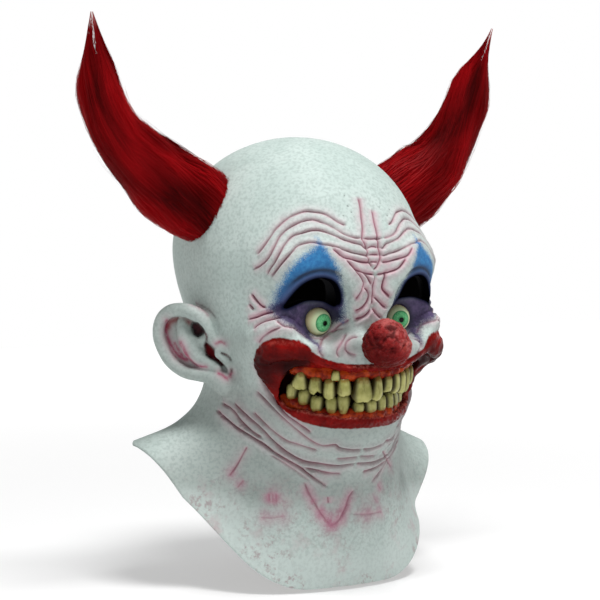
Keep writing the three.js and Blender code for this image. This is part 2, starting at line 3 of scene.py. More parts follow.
import bpy
import numpy as np
import openvdb
from mathutils import Matrix, Vector


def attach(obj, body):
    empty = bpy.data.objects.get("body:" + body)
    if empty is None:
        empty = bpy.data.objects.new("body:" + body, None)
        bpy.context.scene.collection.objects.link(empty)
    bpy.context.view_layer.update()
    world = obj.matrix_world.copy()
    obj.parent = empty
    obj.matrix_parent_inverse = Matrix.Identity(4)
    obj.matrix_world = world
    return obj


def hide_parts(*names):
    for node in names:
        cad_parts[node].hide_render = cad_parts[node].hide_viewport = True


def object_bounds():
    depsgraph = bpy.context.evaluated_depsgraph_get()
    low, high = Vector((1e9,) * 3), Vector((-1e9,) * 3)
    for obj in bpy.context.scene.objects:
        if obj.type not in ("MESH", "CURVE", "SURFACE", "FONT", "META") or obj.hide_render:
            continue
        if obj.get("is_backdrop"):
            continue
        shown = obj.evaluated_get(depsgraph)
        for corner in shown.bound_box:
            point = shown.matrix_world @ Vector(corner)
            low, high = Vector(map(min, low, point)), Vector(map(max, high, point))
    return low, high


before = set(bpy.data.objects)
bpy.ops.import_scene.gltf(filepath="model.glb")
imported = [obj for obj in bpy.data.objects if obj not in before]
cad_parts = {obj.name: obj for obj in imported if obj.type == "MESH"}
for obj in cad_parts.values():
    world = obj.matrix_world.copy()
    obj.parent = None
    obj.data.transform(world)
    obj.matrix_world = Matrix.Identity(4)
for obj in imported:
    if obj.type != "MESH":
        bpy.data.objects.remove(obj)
cad_low, cad_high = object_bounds()

# The tables use the wearer's frame in millimetres: x across (the wearer's left is +x), f forward, z up,
# from the middle of the cranium. Most forms are mirrored, so they are written for x >= 0 only.
WALL = 2.5
F32 = np.float32

# ------------------------------------------------------------------ the form of the skin
FORMS = [  # x, f, z, rx, rf, rz, blend
    (0, -9, 0, 93, 105, 88, 0),  # cranium
    (0, 12, -62, 76, 86, 84, 40),  # face
    (46, 58, -62, 33, 33, 28, 26),  # cheek
    (0, 50, -104, 42, 46, 36, 20),  # muzzle
    (0, 22, -112, 64, 62, 38, 26),  # jaw
    (0, 62, -133, 32, 27, 19, 18),  # chin
    (30, 70, -8, 36, 25, 16, 30),  # brow
]
NECK = ((0, 4, -90, 66), (0, 0, -200, 72), 26)
SHOULDER = ((40, -14, -146, 30), (146, -30, -186, 36), 44)
CHEST = (0, -18, -275, 150, 88, 112, 36)

LIP = [  # x, f, z, r of the rolled lip, upper middle to lower middle
    (0, 103, -85, 3.1), (15, 101.5, -85, 3.1), (28, 98.5, -83, 3.2), (38, 95, -79.6, 3.6), (47, 91.3, -75, 4.6), (54, 88, -70.6, 6.8),
    (60.5, 83.3, -68.4, 9), (66.5, 77.5, -68.6, 10.2), (70.5, 71, -71.8, 9), (70.6, 65, -78.5, 8), (67.4, 62, -85.5, 6.8), (62.8, 61, -92, 5.6),
    (57.5, 60.8, -98.5, 5.3), (53.5, 63.5, -105, 5.8), (48.5, 68, -111.3, 6.2), (42, 73.5, -116.2, 6.5), (33, 80, -119.6, 6.6), (22, 87, -121.2, 6.6), (11, 91.3, -121.5, 6.6), (0, 92.5, -121.6, 6.6),
]
MOUTH = dict(z=-104, lift=6, at=50, half_height=16, half_width=58, round=10, depth=16)
SOCKET = (43, 99, -33, 22, 15, 15, 10)
BASIN = (40, 100, -50, 25, 22, 15, 8)
BASIN_BACK = (40, 100, -50, 33, 31, 23, 16)
POUCH = (39, 68, -52, 20, 13, 12.5, 6)
EYE = dict(x=35.4, f=79, z=-49.6, r=10.3, look={-1: 3.0, 1: -11.0}, low=-5.0)
ROLLS = {  # folds of flesh laid on the face: blend, then rows of x, f, z, r
    "brow": (7, [(43, 90, 4, 5), (33, 96, -3, 6.5), (24, 98.5, -13, 7), (17, 98.5, -25, 6.5), (17.5, 96, -36, 5)]),
    "lid": (4, [(23.5, 92, -37, 3), (27, 94.5, -26, 3.6), (36, 94.5, -18.5, 4), (47, 91, -17.5, 4), (56, 85.5, -23, 3.6), (62, 79, -33, 3)]),
    "cheek": (6, [(79, 60, -62, 4.5), (75.5, 70, -56.5, 5), (69, 80, -53, 5.5), (60, 87, -55, 5.5), (50, 91.5, -63, 5.5), (39, 94, -72, 5), (27, 97, -76.5, 4.5), (14, 99, -78, 4), (0, 99.5, -78, 4)]),
    "tendon": (16, [(60.5, 8, -122, 12), (50, 32, -160, 11.5), (33, 50, -196, 9)]),
    "collar": (14, [(14, 58, -204, 7), (40, 50, -200, 7), (72, 26, -190, 8)]),
}
LUMPS = [  # x, f, z, rx, rf, rz, blend
    (13, 101, -66, 8, 10, 8.5, 6),  # wing of the nose
    (28, 91, -62, 14, 11.5, 12, 8),  # pad beside it
]
UNDER_LOBE = [(52, 89, -77.5), (57.5, 85, -79), (63.5, 81, -81), (69, 78, -82), (74, 74, -81.5), (78, 68, -80)]
PORES = [  # x, f, z, r of open pores high on the forehead
    (-13, 81.6, 43, 1), (-13, 86.2, 35.3, 1.2), (-11.6, 88.8, 30.9, 0.8), (-18.7, 88.9, 28.4, 0.9), (-10.6, 90.7, 27.6, 0.8), (-16.6, 94.4, 19.2, 0.7), (-1.7, 81.2, 45.2, 0.6), (2.1, 89.6, 30.8, 0.8),
    (16.9, 84.3, 37.3, 1), (15.1, 86.3, 34.4, 0.9), (25.3, 84.6, 32.5, 1), (20.7, 88.6, 28, 1), (12, 88.8, 30.7, 0.6), (14.4, 91.9, 24.4, 0.8), (14.2, 83.5, 39.6, 0.7), (0.7, 94.3, 20.9, 0.8),
]
SMEARS = [  # x, f, z, reach, strength of pink rubbed into the bib
    (-57, 51, -182, 5.5, 0.9), (-19, 73, -201, 7, 1), (-26, 69, -194, 5, 0.9), (-10, 73, -196, 5.5, 0.9), (-31, 66, -185, 4, 0.7), (-5, 72, -189, 4.5, 0.7), (-34, 64, -179, 4, 0.6), (-2, 72, -184, 4, 0.55),
    (-62, 50, -196.5, 6, 0.55), (-52, 58, -195.5, 6, 0.5), (14, 73, -197.5, 7, 0.5), (28, 70, -197.5, 6, 0.45), (25, 69, -188, 4, 0.5), (30, 66, -180, 4, 0.5), (46, 57, -166, 5, 0.45),
    (-78, 26, -166, 5, 0.45), (-74, 32, -173, 5, 0.4),
]
SIGHT_HOLE = [(65, -38.5), (61, -29.5), (55, -21.5), (47.5, -17.5), (39.5, -17.3), (32, -21), (27, -29.5), (25.5, -38), (33, -34.5), (41, -33.3), (48.5, -33.5), (57, -36)]
TIP = (136, -142)
FRONT_EDGE = (78, -233, -250, 26)
BACK_EDGE = (84, -205, -194, 24)

# Ear, in its own plane: u outward from the head, v up, w towards the face of the ear.
EAR_AT = np.array([98.5, -1.0, -69.0])
EAR_U = np.array([0.603, -0.798, 0.0])
EAR_W = np.array([0.798, 0.603, 0.0])
HELIX = [  # u, v, w, r
    (-23, 2, 1, 4.2), (-18, 9, 2, 5), (-14, 17, 2.5, 5.4), (-7, 22.5, 2.5, 5.4), (3, 25.6, 2, 5.2), (13.5, 25, 1.5, 5), (21, 20.5, 1, 4.8),
    (24.8, 13.5, 1, 4.6), (25, 5, 1, 4.5), (22.4, -3, 1, 4.5), (17.8, -11, 1, 4.5), (11.5, -17, 1, 4.6), (2.5, -21.6, 0.8, 4.8), (-8, -23.2, 0.4, 5), (-17, -24.6, 0, 5.4), (-27, -29, -1, 7.5),
]
ANTIHELIX = [(7, 15, -3, 4.6), (5, 8, -2, 6), (2, 1, -1.5, 7.2), (-3, -5.5, -1, 7), (-10, -11.5, -0.5, 5.4), (-17, -15, 0, 4), (-23, -17, 0.5, 3.2)]
CRUS = [(2, 3, -1.5, 5.5), (-6, 3.5, -2, 4.6), (-12, 3, -2, 3.4)]
# The hollows of the ear lean with depth. Their outlines and the painted lines are given where they meet w = 0.
EAR_LEAN = (0.447, -0.0895)
FOSSA = [(-1.9, 16.5), (-7, 16.3), (-11.1, 12.6), (-13, 10), (-11.1, 7.3), (-6.9, 4.7), (-3.2, 7.1), (-1.6, 12)]
CONCHA = [(-12.3, -0.4), (-13.4, 1.6), (-14.9, 0.8), (-17.6, -1.2), (-20.5, -4.1), (-21.3, -7.4), (-23.7, -9.6), (-26.2, -11.8), (-27.6, -15.4), (-25.6, -15.6), (-23, -13), (-20, -11.3), (-16, -10), (-13.3, -6.9)]
TRAGUS = [(-24.3, -6.9, 1.2, 2.7), (-24.2, -4.2, 1.4, 2.8), (-26, -2.5, 1.4, 2.8), (-28.4, -2.5, 1.2, 2.8), (-31, -4.2, 0.4, 2.6)]
TRAGUS_FOOT = [(-24.6, -7.4, 1.2, 2.6), (-28, -10.3, 1.2, 2.7), (-31.3, -12.9, 0.8, 2.9), (-33.7, -16, 0, 3)]
SLIT = [(-26.2, -6.3), (-29, -6.9), (-31.9, -8.7), (-33.7, -11.2)]
EAR_STROKES = {  # kind: rows of strength, half width, points u, v
    "pink": [
        (1, 1.6, [(18.7, 16.7), (19.6, 8.4), (17.1, 1.6), (13.8, -4.4), (9.6, -8.8), (4.7, -11.7), (2.2, -12)]),
        (1, 1.5, [(7.5, 0.4), (5.5, -3), (3.4, -6.7), (1.3, -10.1)]),
        (0.7, 1.2, [(16.3, -1.4), (14.6, -6.7), (11.3, -11.1)]),
        (0.9, 1.2, [(12.5, 0), (9.5, -4.5), (6, -9)]),
        (0.95, 0.9, [(1.3, -10.1), (-0.3, -11.5), (-3.6, -14.4), (-7.7, -16.6), (-13.5, -16.9)]),
        (0.8, 1.2, [(-21.7, 0.8), (-24.2, 2), (-26.6, 2.1), (-28.6, 1.1)]),
        (0.95, 1.3, [(-23.7, -21.3), (-26.6, -22.7), (-29.8, -24.7), (-32.3, -23.8), (-33.9, -21.3)]),
        (0.35, 1.4, [(-1.2, 30.1), (-6.2, 28.3), (-11.1, 25.4), (-15.2, 22.1)]),
    ],
    "red": [(0.75, 2.6, [(18, 12), (16.6, 15.4), (13, 17.4), (9, 18), (4.6, 17.2), (0.5, 16)])],
    # dark: dark red paint in the ear's hollows and creases, dark enough to be painted shade as well
    "dark": [
        (0.95, 0.9, [(-12.3, 8.9), (-14, 6.3), (-13.9, 2.5), (-13.1, -0.9)]),
        (0.9, 1.0, [(-14, -8), (-16.8, -9.5), (-20, -10.7), (-23.3, -12.1), (-25.8, -13.9), (-27, -15.4)]),
        (0.9, 0.9, SLIT),
        (0.85, 1.3, [(-34.3, -18.2), (-34.3, -19.8)]),
        (0.5, 0.7, [(-2.1, 31.1), (-6.2, 30.6), (-11.1, 28.8), (-16, 25.9), (-21.2, 21)]),
    ],
}

# Creases of the skin: a narrow groove with a soft ridge on either side.
GROOVE, RIDGE_AT, RIDGE = 0.8, 2.7, 1.6
CREASES = [  # depth in mm, strength of the pink wash, points x, f, z
    (1.3, 0.62, [(76.8, 60.4, -0.7), (73.6, 64.7, 5.1), (68.5, 66.8, 13), (65.1, 67.2, 17.6), (60.4, 68.7, 22.4), (55.2, 70.7, 26.7), (49.5, 73.3, 29.7), (43.5, 76.3, 31.5), (38.4, 79.7, 31.2), (33.7, 82.6, 30.3), (30.3, 85.2, 28.5), (27, 88, 26), (23.1, 90.9, 23), (18.1, 93.3, 20.9)]),
    (1.4, 0.62, [(78.3, 57.5, -11.2), (75.7, 65.7, -7.6), (72.9, 71.8, -2), (69.5, 73.2, 4.7), (64.2, 72.7, 13.1), (58.6, 74, 18.5), (52.9, 76.4, 22.1), (47.2, 78.8, 24.6), (41.3, 82, 25.5), (36.4, 85.6, 23.9), (32, 88.9, 21.8), (28.1, 91.9, 19.1), (24.3, 94.8, 16), (19.8, 96.9, 13.6), (14.7, 98.2, 12.2), (9, 98.8, 11.2)]),
    (1.5, 0.62, [(74, 70.4, -15.5), (72.8, 73.9, -10.4), (70.7, 77.5, -4.9), (67.2, 78.8, 2.3), (63, 78.9, 8.4), (57.2, 79.9, 13.8), (51.2, 82.9, 15.9), (45.5, 85.3, 17.7), (40.1, 88, 18), (35, 91.4, 16.4), (29.8, 94.6, 14), (24.5, 97.4, 11.2), (19.6, 99, 9.6), (15.4, 99.9, 8.4), (11.4, 100.5, 7.3), (8.1, 101.4, 4.4), (4.5, 101.2, 4.6)]),
    (1.6, 0.62, [(72.5, 73.5, -16.9), (69.8, 79.6, -9.6), (65.9, 83.6, -3), (61.4, 85.5, 2.4), (57.5, 86, 6.3), (52.9, 87.9, 8.5), (47.7, 92.2, 9.4), (42.4, 96.2, 8), (37.1, 98, 7.3), (31.8, 99.9, 5.7), (25.5, 101.2, 3.5), (18.8, 102.2, 1.5), (12.6, 102.7, 0.2), (7.5, 102.8, -1.1), (4.5, 102.4, -0.7)]),
    (1.5, 1, [(36.7, 99.7, 5.2), (33.2, 102.1, 2.4), (29.3, 103.8, -1), (23.8, 104.2, -2.9), (17.7, 103.7, -4.2), (11, 103.7, -5.6), (5.8, 103.4, -5.9), (3.8, 103, -5.7)]),
    (1.7, 1, [(27.6, 104.5, -2.6), (23.4, 105.4, -6.7), (18.9, 105.7, -10.7), (11.6, 104.4, -13.3), (5.6, 103.7, -14.5), (2.8, 103.5, -14.8), (0, 103.4, -15)]),
    (1.7, 1, [(78.6, 55.1, -28), (75.9, 64.3, -36.5), (73.5, 70.4, -39)]),
    (1.4, 0.8, [(79.6, 53.6, -36), (78.4, 60.3, -40.5)]),
    (1.8, 1, [(81.6, 55.2, -48), (78.5, 64, -45.5), (74.1, 71.1, -42.5), (70, 76.6, -41.5)]),
    (1.6, 0.9, [(82.2, 64, -54.8), (78.1, 70.4, -49.4), (74.1, 76.1, -46.9), (67.2, 83.1, -45.4)]),
    (1.5, 0.8, [(79.9, 67.7, -65.9), (79, 74.1, -59.8), (75.4, 81.2, -54.7), (69.7, 87, -51.7)]),
    (1.3, 0.5, [(18.3, 91.4, -54.4), (23, 86.4, -55.7), (28.4, 83.4, -58.4), (35.7, 86.9, -62.2), (44.7, 97.2, -67.1), (45, 98, -71.3), (40.5, 98.9, -75.3)]),
    (1.7, 0.6, [(19.5, 92.7, -56.9), (24.5, 97.6, -61.9), (31, 101.3, -68.1), (32, 101.3, -72.3), (29.2, 101.5, -75.4)]),
    (1.4, 0.6, [(16.1, 105.9, -60.1), (19.3, 100.8, -60.7), (24.3, 101.3, -64.1), (25.5, 102.1, -69.2), (21, 102.3, -72.7), (16.1, 104.8, -74)]),
    (1.2, 0.7, [(28.1, 85.2, -58.9), (20.8, 86.4, -52.4), (17.6, 90.4, -49.8), (16.1, 93.7, -47.4)]),
    (1, 0.7, [(72.3, 80.1, -47.1), (68.6, 87.9, -51.6), (54.9, 84.2, -55.3), (47.2, 88, -61.7)]),
    (1, 0.7, [(68.4, 80.7, -44.3), (59.3, 84.4, -46.1), (48.2, 81.3, -52.8)]),
    (1, 0.7, [(45.8, 83.4, -58.9), (37.9, 86.9, -62.2), (28, 85.1, -58.8)]),
    (2.0, 0.61, [(76.9, 57.4, -79), (72.3, 56.7, -86.8), (68.4, 55.1, -93.9), (66.9, 55.5, -96.9), (60.4, 60.5, -108.7), (54.7, 65.2, -118.2), (47.4, 70.3, -124.8), (41.2, 74.2, -130), (37.9, 76.1, -133)]),
    (1.7, 0.51, [(69.4, 46.7, -101.3), (63.8, 54.7, -109.8), (57.5, 61.3, -118.4), (50.1, 66.2, -126.6), (42.5, 70.8, -134), (36.2, 74.7, -139.2), (29.8, 78.4, -142.2), (22.6, 83.7, -141.4), (19.2, 83.8, -143.9), (9.8, 85.7, -145.8), (0, 86.5, -146)]),
    (1.5, 0.48, [(68.7, 41.1, -117.5), (63.3, 48, -125.4), (56.4, 53.9, -133.4), (49.5, 59.5, -139.3), (44.1, 64.9, -141.3), (37.2, 70.7, -144.1), (31, 74.8, -146.3)]),
    (1.8, 0.58, [(75.6, 24.7, -112), (69.4, 37.8, -123.1), (63.5, 45.4, -130.2), (57.5, 49.9, -138.3), (51.5, 54.3, -144.9), (45.5, 58.8, -150.1), (38.2, 64, -154.5), (28.1, 70.2, -156.7), (16.6, 74.4, -158.6), (7.5, 76.8, -158.3), (0, 77.6, -157.8)]),
    (1.4, 0.54, [(78.8, 12.1, -113), (75.8, 25.1, -118), (72.7, 31.6, -125.8), (66.9, 39.5, -133.6), (61.6, 45.1, -137.8)]),
    (1.9, 0.61, [(81, 8.3, -118.6), (79.3, 19.1, -124.4), (74.5, 28.8, -131.2), (68.8, 36.8, -136), (61.4, 44.7, -142.3), (54.5, 50.6, -148.9), (47.3, 56, -154), (39.9, 61, -159.2), (34.5, 63.7, -163.8), (28.9, 65.9, -168.5), (19.3, 69, -174.8)]),
    (1.3, 0.54, [(37.5, 62.9, -159.2), (29.7, 67.2, -161.5), (21.1, 70.4, -164), (8.7, 73.2, -165.4)]),
    (1.2, 0.48, [(18.6, 77.4, -152.9), (6.7, 81, -152.6), (0, 82, -152)]),
    (0.8, 0.24, [(57.8, 47.5, -149.8), (49.5, 54, -155.6), (39.5, 60.4, -163.8), (31.4, 64.4, -170.7)]),
]
MIDDLE_CREASES = [  # as above, not mirrored
    (1.3, 0.85, [(-9, 98.8, 11.2), (0, 98.7, 11.2), (9.5, 98.9, 11)]),
    (1.5, 0.85, [(-1.6, 82.9, 42.7), (-2.2, 85.1, 39), (-3.1, 88.5, 32.9), (-4.5, 91.8, 26.2), (-5.8, 95.3, 18.9), (-8.7, 98.6, 11.7), (-7.9, 100.1, 8), (-6.7, 101.6, 3.7), (-6.8, 102.9, -1.7), (-5.4, 103.3, -5.9), (-2.6, 103.4, -10.8)]),
    (1.4, 0.9, [(7.5, 88.1, 33.1), (6.6, 90.5, 28.5), (5.8, 94, 21.8), (5.6, 96.6, 16.3), (4.7, 98.9, 10.8), (4.2, 100.7, 6), (4.2, 101.9, 1.7), (4.6, 102.7, -2.1), (2.9, 103.1, -6.7), (0.5, 103.1, -10), (-2.6, 103.4, -11.6)]),
    (1.1, 0.9, [(-6.6, 101.5, 4), (-1.2, 100.5, 5.6), (3.9, 101.2, 4.3)]),
    (1.1, 0.9, [(-6.6, 102.6, -0.5), (-1.3, 101.9, -0.3), (4.6, 102.4, -0.9)]),
    (1.0, 0.9, [(-5.8, 103.3, -5.3), (-1, 102.7, -5.8), (3.3, 103, -5.8)]),
    (1.8, 1, [(-20.2, 105.8, -10), (-18.3, 105.9, -12.8), (-13.9, 105.4, -16.9), (-11.5, 104.8, -21), (-12.7, 105.3, -24.9), (-14, 105, -28.2), (-16, 103.8, -31.5), (-18.3, 101.3, -33.6)]),
    (1.8, 1, [(-11.8, 104.4, -13.3), (-6.4, 103.7, -18.4), (-2.9, 103.1, -23.9)]),
    (1.8, 1, [(0.1, 103.2, -15), (-1.2, 103.2, -20), (-2.2, 102.9, -25.3), (-2.2, 102.3, -30.7), (-2.3, 101.8, -35.4), (-2.6, 101.6, -38.7)]),
    (1.8, 1, [(-12.1, 105.2, -24.2), (-7.8, 103.5, -26.1), (-5.5, 102.5, -29.9), (-6.3, 102, -34.6), (-8.9, 101.6, -37.9), (-12.6, 101.1, -40.4), (-16.5, 97.4, -41.9)]),
    (1.8, 1, [(-2.8, 101.6, -38.7), (-4, 101.4, -42.1), (-7.6, 100.9, -45.3), (-11.6, 99.5, -46.9), (-15.1, 95.3, -48.4)]),
    (1.8, 1, [(-1.8, 102.3, -31.1), (1.2, 102.1, -32.8), (5.6, 101.7, -36.3), (9.1, 101.3, -39.1), (13.1, 101.3, -39.9)]),
    (1.7, 1, [(-2.4, 101.6, -38.7), (0.9, 101.4, -42.9), (5.2, 101, -46.4), (8.8, 100.6, -48.3)]),
    (1.8, 1, [(8.5, 103.9, -12.2), (7.3, 103.8, -18.8), (6.1, 103.3, -24.2), (7, 103.2, -26.9), (10, 103.5, -29.7), (14, 103.6, -33.1)]),
    (0.9, 0.5, [(26, 75.5, -150.4), (42, 58.9, -162.1), (48.2, 55.5, -167.6)]),
    (0.6, 0.5, [(20.3, 69.1, -181.2), (23.2, 69, -187.6), (27.9, 68.8, -191.9)]),
    (0.6, 0.8, [(26.6, 66.7, -176), (31.9, 65.7, -182.7)]),
    (1.6, 1, [(-36.1, 62.1, -169.9), (-33.8, 64, -177.3), (-30.8, 66.2, -184), (-26.6, 69.3, -192.9), (-21.1, 71.8, -200.6), (-17.4, 73, -203), (-11.4, 73.3, -199), (-5.4, 72.4, -190.6), (-2.5, 72, -183.4), (3.1, 71.7, -177.9)]),
    (0.8, 1, [(-19.5, 69.3, -181.5), (-19.4, 69.9, -187.5)]),
    (0.9, 0.6, [(-69.3, 36.1, -143.5), (-73.8, 29, -157.6), (-79.9, 24.6, -168.9)]),
    (0.6, 0.7, [(-70.9, 33, -169.3), (-76.8, 31.1, -176.6)]),
    (0.6, 0.95, [(-58.5, 48.5, -178.1), (-59.1, 50.3, -186)]),
    (0.6, 0.95, [(-56.6, 50.4, -177.2), (-57.3, 52.3, -187.4)]),
    (0.6, 0.95, [(-54.6, 52.3, -177.9), (-55.1, 53.8, -186.6)]),
    (0.6, 0.6, [(-67.2, 47.1, -196.2), (-60.1, 52.6, -196.8), (-50.4, 59.6, -195.2)]),
    (0.6, 0.7, [(-0.6, 73.2, -196.2), (14.2, 72.7, -197.7), (31.4, 69.1, -197.5)]),
]
# Painted areas round the eye, as outlines in x and z on the face.
BLUE = [(43.3, 12.5), (45.5, 8), (50.3, 3.7), (58.8, -3), (65.4, -12), (68.7, -24.3), (71, -36), (72, -41), (64.6, -40), (52, -34), (40, -33), (30, -37), (24, -44), (19, -51), (19.3, -43.6), (21.4, -35.6), (25.7, -23.2), (32, -10.9), (37.5, -0.7), (41.3, 6.5)]
PURPLE = [(70.9, -36.6), (72.5, -40.3), (70.9, -46.1), (66.4, -50.7), (59.8, -53.1), (52.3, -59.2), (46.2, -67.9), (43.6, -68.7), (42.5, -59.4), (35.9, -54.7), (26.5, -52.6), (18.4, -48), (20, -42), (26, -31), (40, -18), (56, -22), (65, -33)]


def meld(a, b, k):
    h = np.maximum(k - np.abs(a - b), 0)
    return np.minimum(a, b) - h * h * (0.25 / k)


def carve(a, b, k):
    return -meld(-a, -b, k)


def ellipsoid(x, f, z, e):
    a, b, c = (x - e[0]) / e[3], (f - e[1]) / e[4], (z - e[2]) / e[5]
    k0 = np.sqrt(a * a + b * b + c * c)
    k1 = np.sqrt((a / e[3]) ** 2 + (b / e[4]) ** 2 + (c / e[5]) ** 2)
    return k0 * (k0 - 1) / np.maximum(k1, 1e-6)


def limb(x, f, z, a, b):
    dx, df, dz = b[0] - a[0], b[1] - a[1], b[2] - a[2]
    t = np.clip(((x - a[0]) * dx + (f - a[1]) * df + (z - a[2]) * dz) / (dx * dx + df * df + dz * dz), 0, 1)
    return np.sqrt((x - a[0] - t * dx) ** 2 + (f - a[1] - t * df) ** 2 + (z - a[2] - t * dz) ** 2) - (a[3] + t * (b[3] - a[3]))


def flowing(rows, per):
    """Rows again, more of them, on a smooth curve through the first ones."""
    p = np.array(rows, float)
    q = np.concatenate([[2 * p[0] - p[1]], p, [2 * p[-1] - p[-2]]])
    out = []
    for i in range(len(p) - 1):
        a, b, c, d = q[i : i + 4]
        for t in np.linspace(0, 1, per, endpoint=False):
            out.append(0.5 * (2 * b + (c - a) * t + (2 * a - 5 * b + 4 * c - d) * t * t + (3 * b - a - 3 * c + d) * t**3))
    return np.array(out + [p[-1]])


def chain(x, f, z, rows, per=3):
    rows = flowing(rows, per)
    d = None
    for a, b in zip(rows[:-1], rows[1:]):
        e = limb(x, f, z, a, b)
        d = e if d is None else np.minimum(d, e)
    return d


def smooth(t):
    t = np.clip(t, 0, 1)
    return t * t * (3 - 2 * t)


def body(x, f, z):
    x = np.abs(x)
    d = None
    for form in FORMS:
        e = ellipsoid(x, f, z, form)
        d = e if d is None else meld(d, e, form[6])
    d = meld(d, limb(x, f, z, NECK[0], NECK[1]), NECK[2])
    d = meld(d, limb(x, f, z, SHOULDER[0], SHOULDER[1]), SHOULDER[2])
    return meld(d, ellipsoid(x, f, z, CHEST), CHEST[6])


def mouth_gap(x, z, grown=0.0):
    middle = MOUTH["z"] + MOUTH["lift"] * (x / MOUTH["at"]) ** 2
    return carve(np.abs(z - middle) - MOUTH["half_height"] - grown, np.abs(x) - MOUTH["half_width"] - grown, MOUTH["round"])


def ear_frame(x, f, z):
    q = (np.abs(x) - EAR_AT[0], f - EAR_AT[1])
    return q[0] * EAR_U[0] + q[1] * EAR_U[1], z - EAR_AT[2], q[0] * EAR_W[0] + q[1] * EAR_W[1]


def ear(x, f, z):
    u, v, w = ear_frame(x, f, z)
    us, vs = u + EAR_LEAN[0] * w, v + EAR_LEAN[1] * w
    d = chain(u, v, w, HELIX)
    d = meld(d, ellipsoid(u, v, w, (1, 1, -6.8, 27, 26.5, 4.2)), 5)
    d = meld(d, chain(u, v, w, ANTIHELIX), 3)
    d = meld(d, chain(u, v, w, CRUS), 3)
    d = meld(d, ellipsoid(u, v, w, (-16, -2, -12, 14, 22, 9)), 8)
    for outline, floor in ((FOSSA, -8.6), (CONCHA, -8.0)):
        d = carve(d, -np.maximum(outline_distance(us, vs, outline), floor - w), 1.6)
    d = meld(d, chain(u, v, w, TRAGUS), 1.5)
    d = meld(d, chain(u, v, w, TRAGUS_FOOT), 1.5)
    return meld(d, ellipsoid(u, v, w, (-29, -30, -2, 8, 8.5, 7)), 6)


def skin(x, f, z):
    """Signed distance to the outside of the skin, in mm."""
    plain = body(x, f, z)
    d = plain.copy()
    near = np.nonzero((np.abs(plain) < 30) & (f > 15) & (z > -215) & (z < 40))[0]
    if len(near):
        ax, af, az, ap = np.abs(x[near]), f[near], z[near], plain[near]
        e = ap
        for blend, rows in ROLLS.values():
            e = meld(e, chain(ax, af, az, rows, 2), blend)
        for lump in LUMPS:
            e = meld(e, ellipsoid(ax, af, az, lump), lump[6])
        lip = chain(ax, af, az, LIP)
        e = meld(e, lip, 2.5)
        e = carve(e, -np.maximum(mouth_gap(ax, az), -(ap + MOUTH["depth"])), 5)
        e = carve(e, -ellipsoid(ax, af, az, SOCKET), SOCKET[6])
        e = meld(e, chain(ax, af, az, ROLLS["lid"][1], 2), 3)
        e = carve(e, -ellipsoid(ax, af, az, BASIN), BASIN[6])
        e = meld(e, ellipsoid(ax, af, az, POUCH), POUCH[6])
        ball = np.sqrt((ax - EYE["x"]) ** 2 + (af - EYE["f"]) ** 2 + (az - EYE["z"]) ** 2) - EYE["r"] - 0.5
        front = np.sqrt((ax - EYE["x"]) ** 2 + (af - EYE["f"] - 7) ** 2 + (az - EYE["z"]) ** 2) - EYE["r"] - 0.6
        e = carve(e, -np.minimum(ball, front), 1.5)
        d[near] = e
    side = np.nonzero((np.abs(x) > 60) & (np.abs(f) < 55) & (z > -125) & (z < -25))[0]
    if len(side):
        d[side] = meld(d[side], ear(x[side], f[side], z[side]), 4)
    return d


def lining(x, f, z):
    plain = body(x, f, z)
    d = carve(plain, -np.maximum(mouth_gap(x, z, 7), -(plain + MOUTH["depth"])), 6)
    d = carve(d, -ellipsoid(np.abs(x), f, z, SOCKET), SOCKET[6] * 2)
    d = carve(d, -ellipsoid(np.abs(x), f, z, BASIN_BACK), BASIN_BACK[6])
    return np.where(f > 20, d, plain) + WALL


def beyond_edge(x, f, z):
    """Positive outside the outline of the bib."""
    front_line = -27 - 0.93 * (z - TIP[1])
    x = np.abs(x) + 0.62 * np.maximum(front_line - f, 0)

    def edge(e):
        dx, dz = e[0] - TIP[0], e[1] - TIP[1]
        return carve(((x - TIP[0]) * -dz + (z - TIP[1]) * dx) / math.hypot(dx, dz), e[2] - z, e[3])

    t = smooth((f + 44) / 28)
    back, front = edge(BACK_EDGE), edge(FRONT_EDGE)
    return back + (front - back) * t


def drape(p):
    """The soft bib hangs lower and closer on the wearer's left shoulder."""
    t = smooth((p[:, 0] - 68) / 42) * smooth((-105 - p[:, 2]) / 45) * smooth((p[:, 2] + 240) / 55)
    return p - np.stack([5 * t, 0 * t, 15 * t], 1)


def outline_distance(px, pz, outline):
    """Signed distance to a closed outline in the plane, negative inside."""
    best = np.full(len(px), 1e9)
    inside = np.zeros(len(px), bool)
    pts = np.array(outline, float)
    for (ax, az), (bx, bz) in zip(pts, np.roll(pts, -1, axis=0)):
        dx, dz = bx - ax, bz - az
        t = np.clip(((px - ax) * dx + (pz - az) * dz) / (dx * dx + dz * dz), 0, 1)
        best = np.minimum(best, (px - ax - t * dx) ** 2 + (pz - az - t * dz) ** 2)
        crosses = (az > pz) != (bz > pz)
        inside ^= crosses & (px < (bx - ax) * (pz - az) / (bz - az + 1e-12) + ax)
    best = np.sqrt(best)
    return np.where(inside, -best, best)


def closed_curve(outline, per):
    p = np.array(outline, float)
    q = np.concatenate([p[-1:], p, p[:2]])
    out = []
    for i in range(len(p)):
        a, b, c, d = q[i : i + 4]
        for t in np.linspace(0, 1, per, endpoint=False):
            out.append(0.5 * (2 * b + (c - a) * t + (2 * a - 5 * b + 4 * c - d) * t * t + (3 * b - a - 3 * c + d) * t**3))
    return np.array(out)


SIGHT_CURVE = closed_curve(SIGHT_HOLE, 4)
BLUE_CURVE = closed_curve(BLUE, 2)
PURPLE_CURVE = closed_curve(PURPLE, 3)


def sight_distance(x, f, z):
    d = outline_distance(np.abs(x), z, SIGHT_CURVE)
    return np.where(f > 45, d, 50.0)


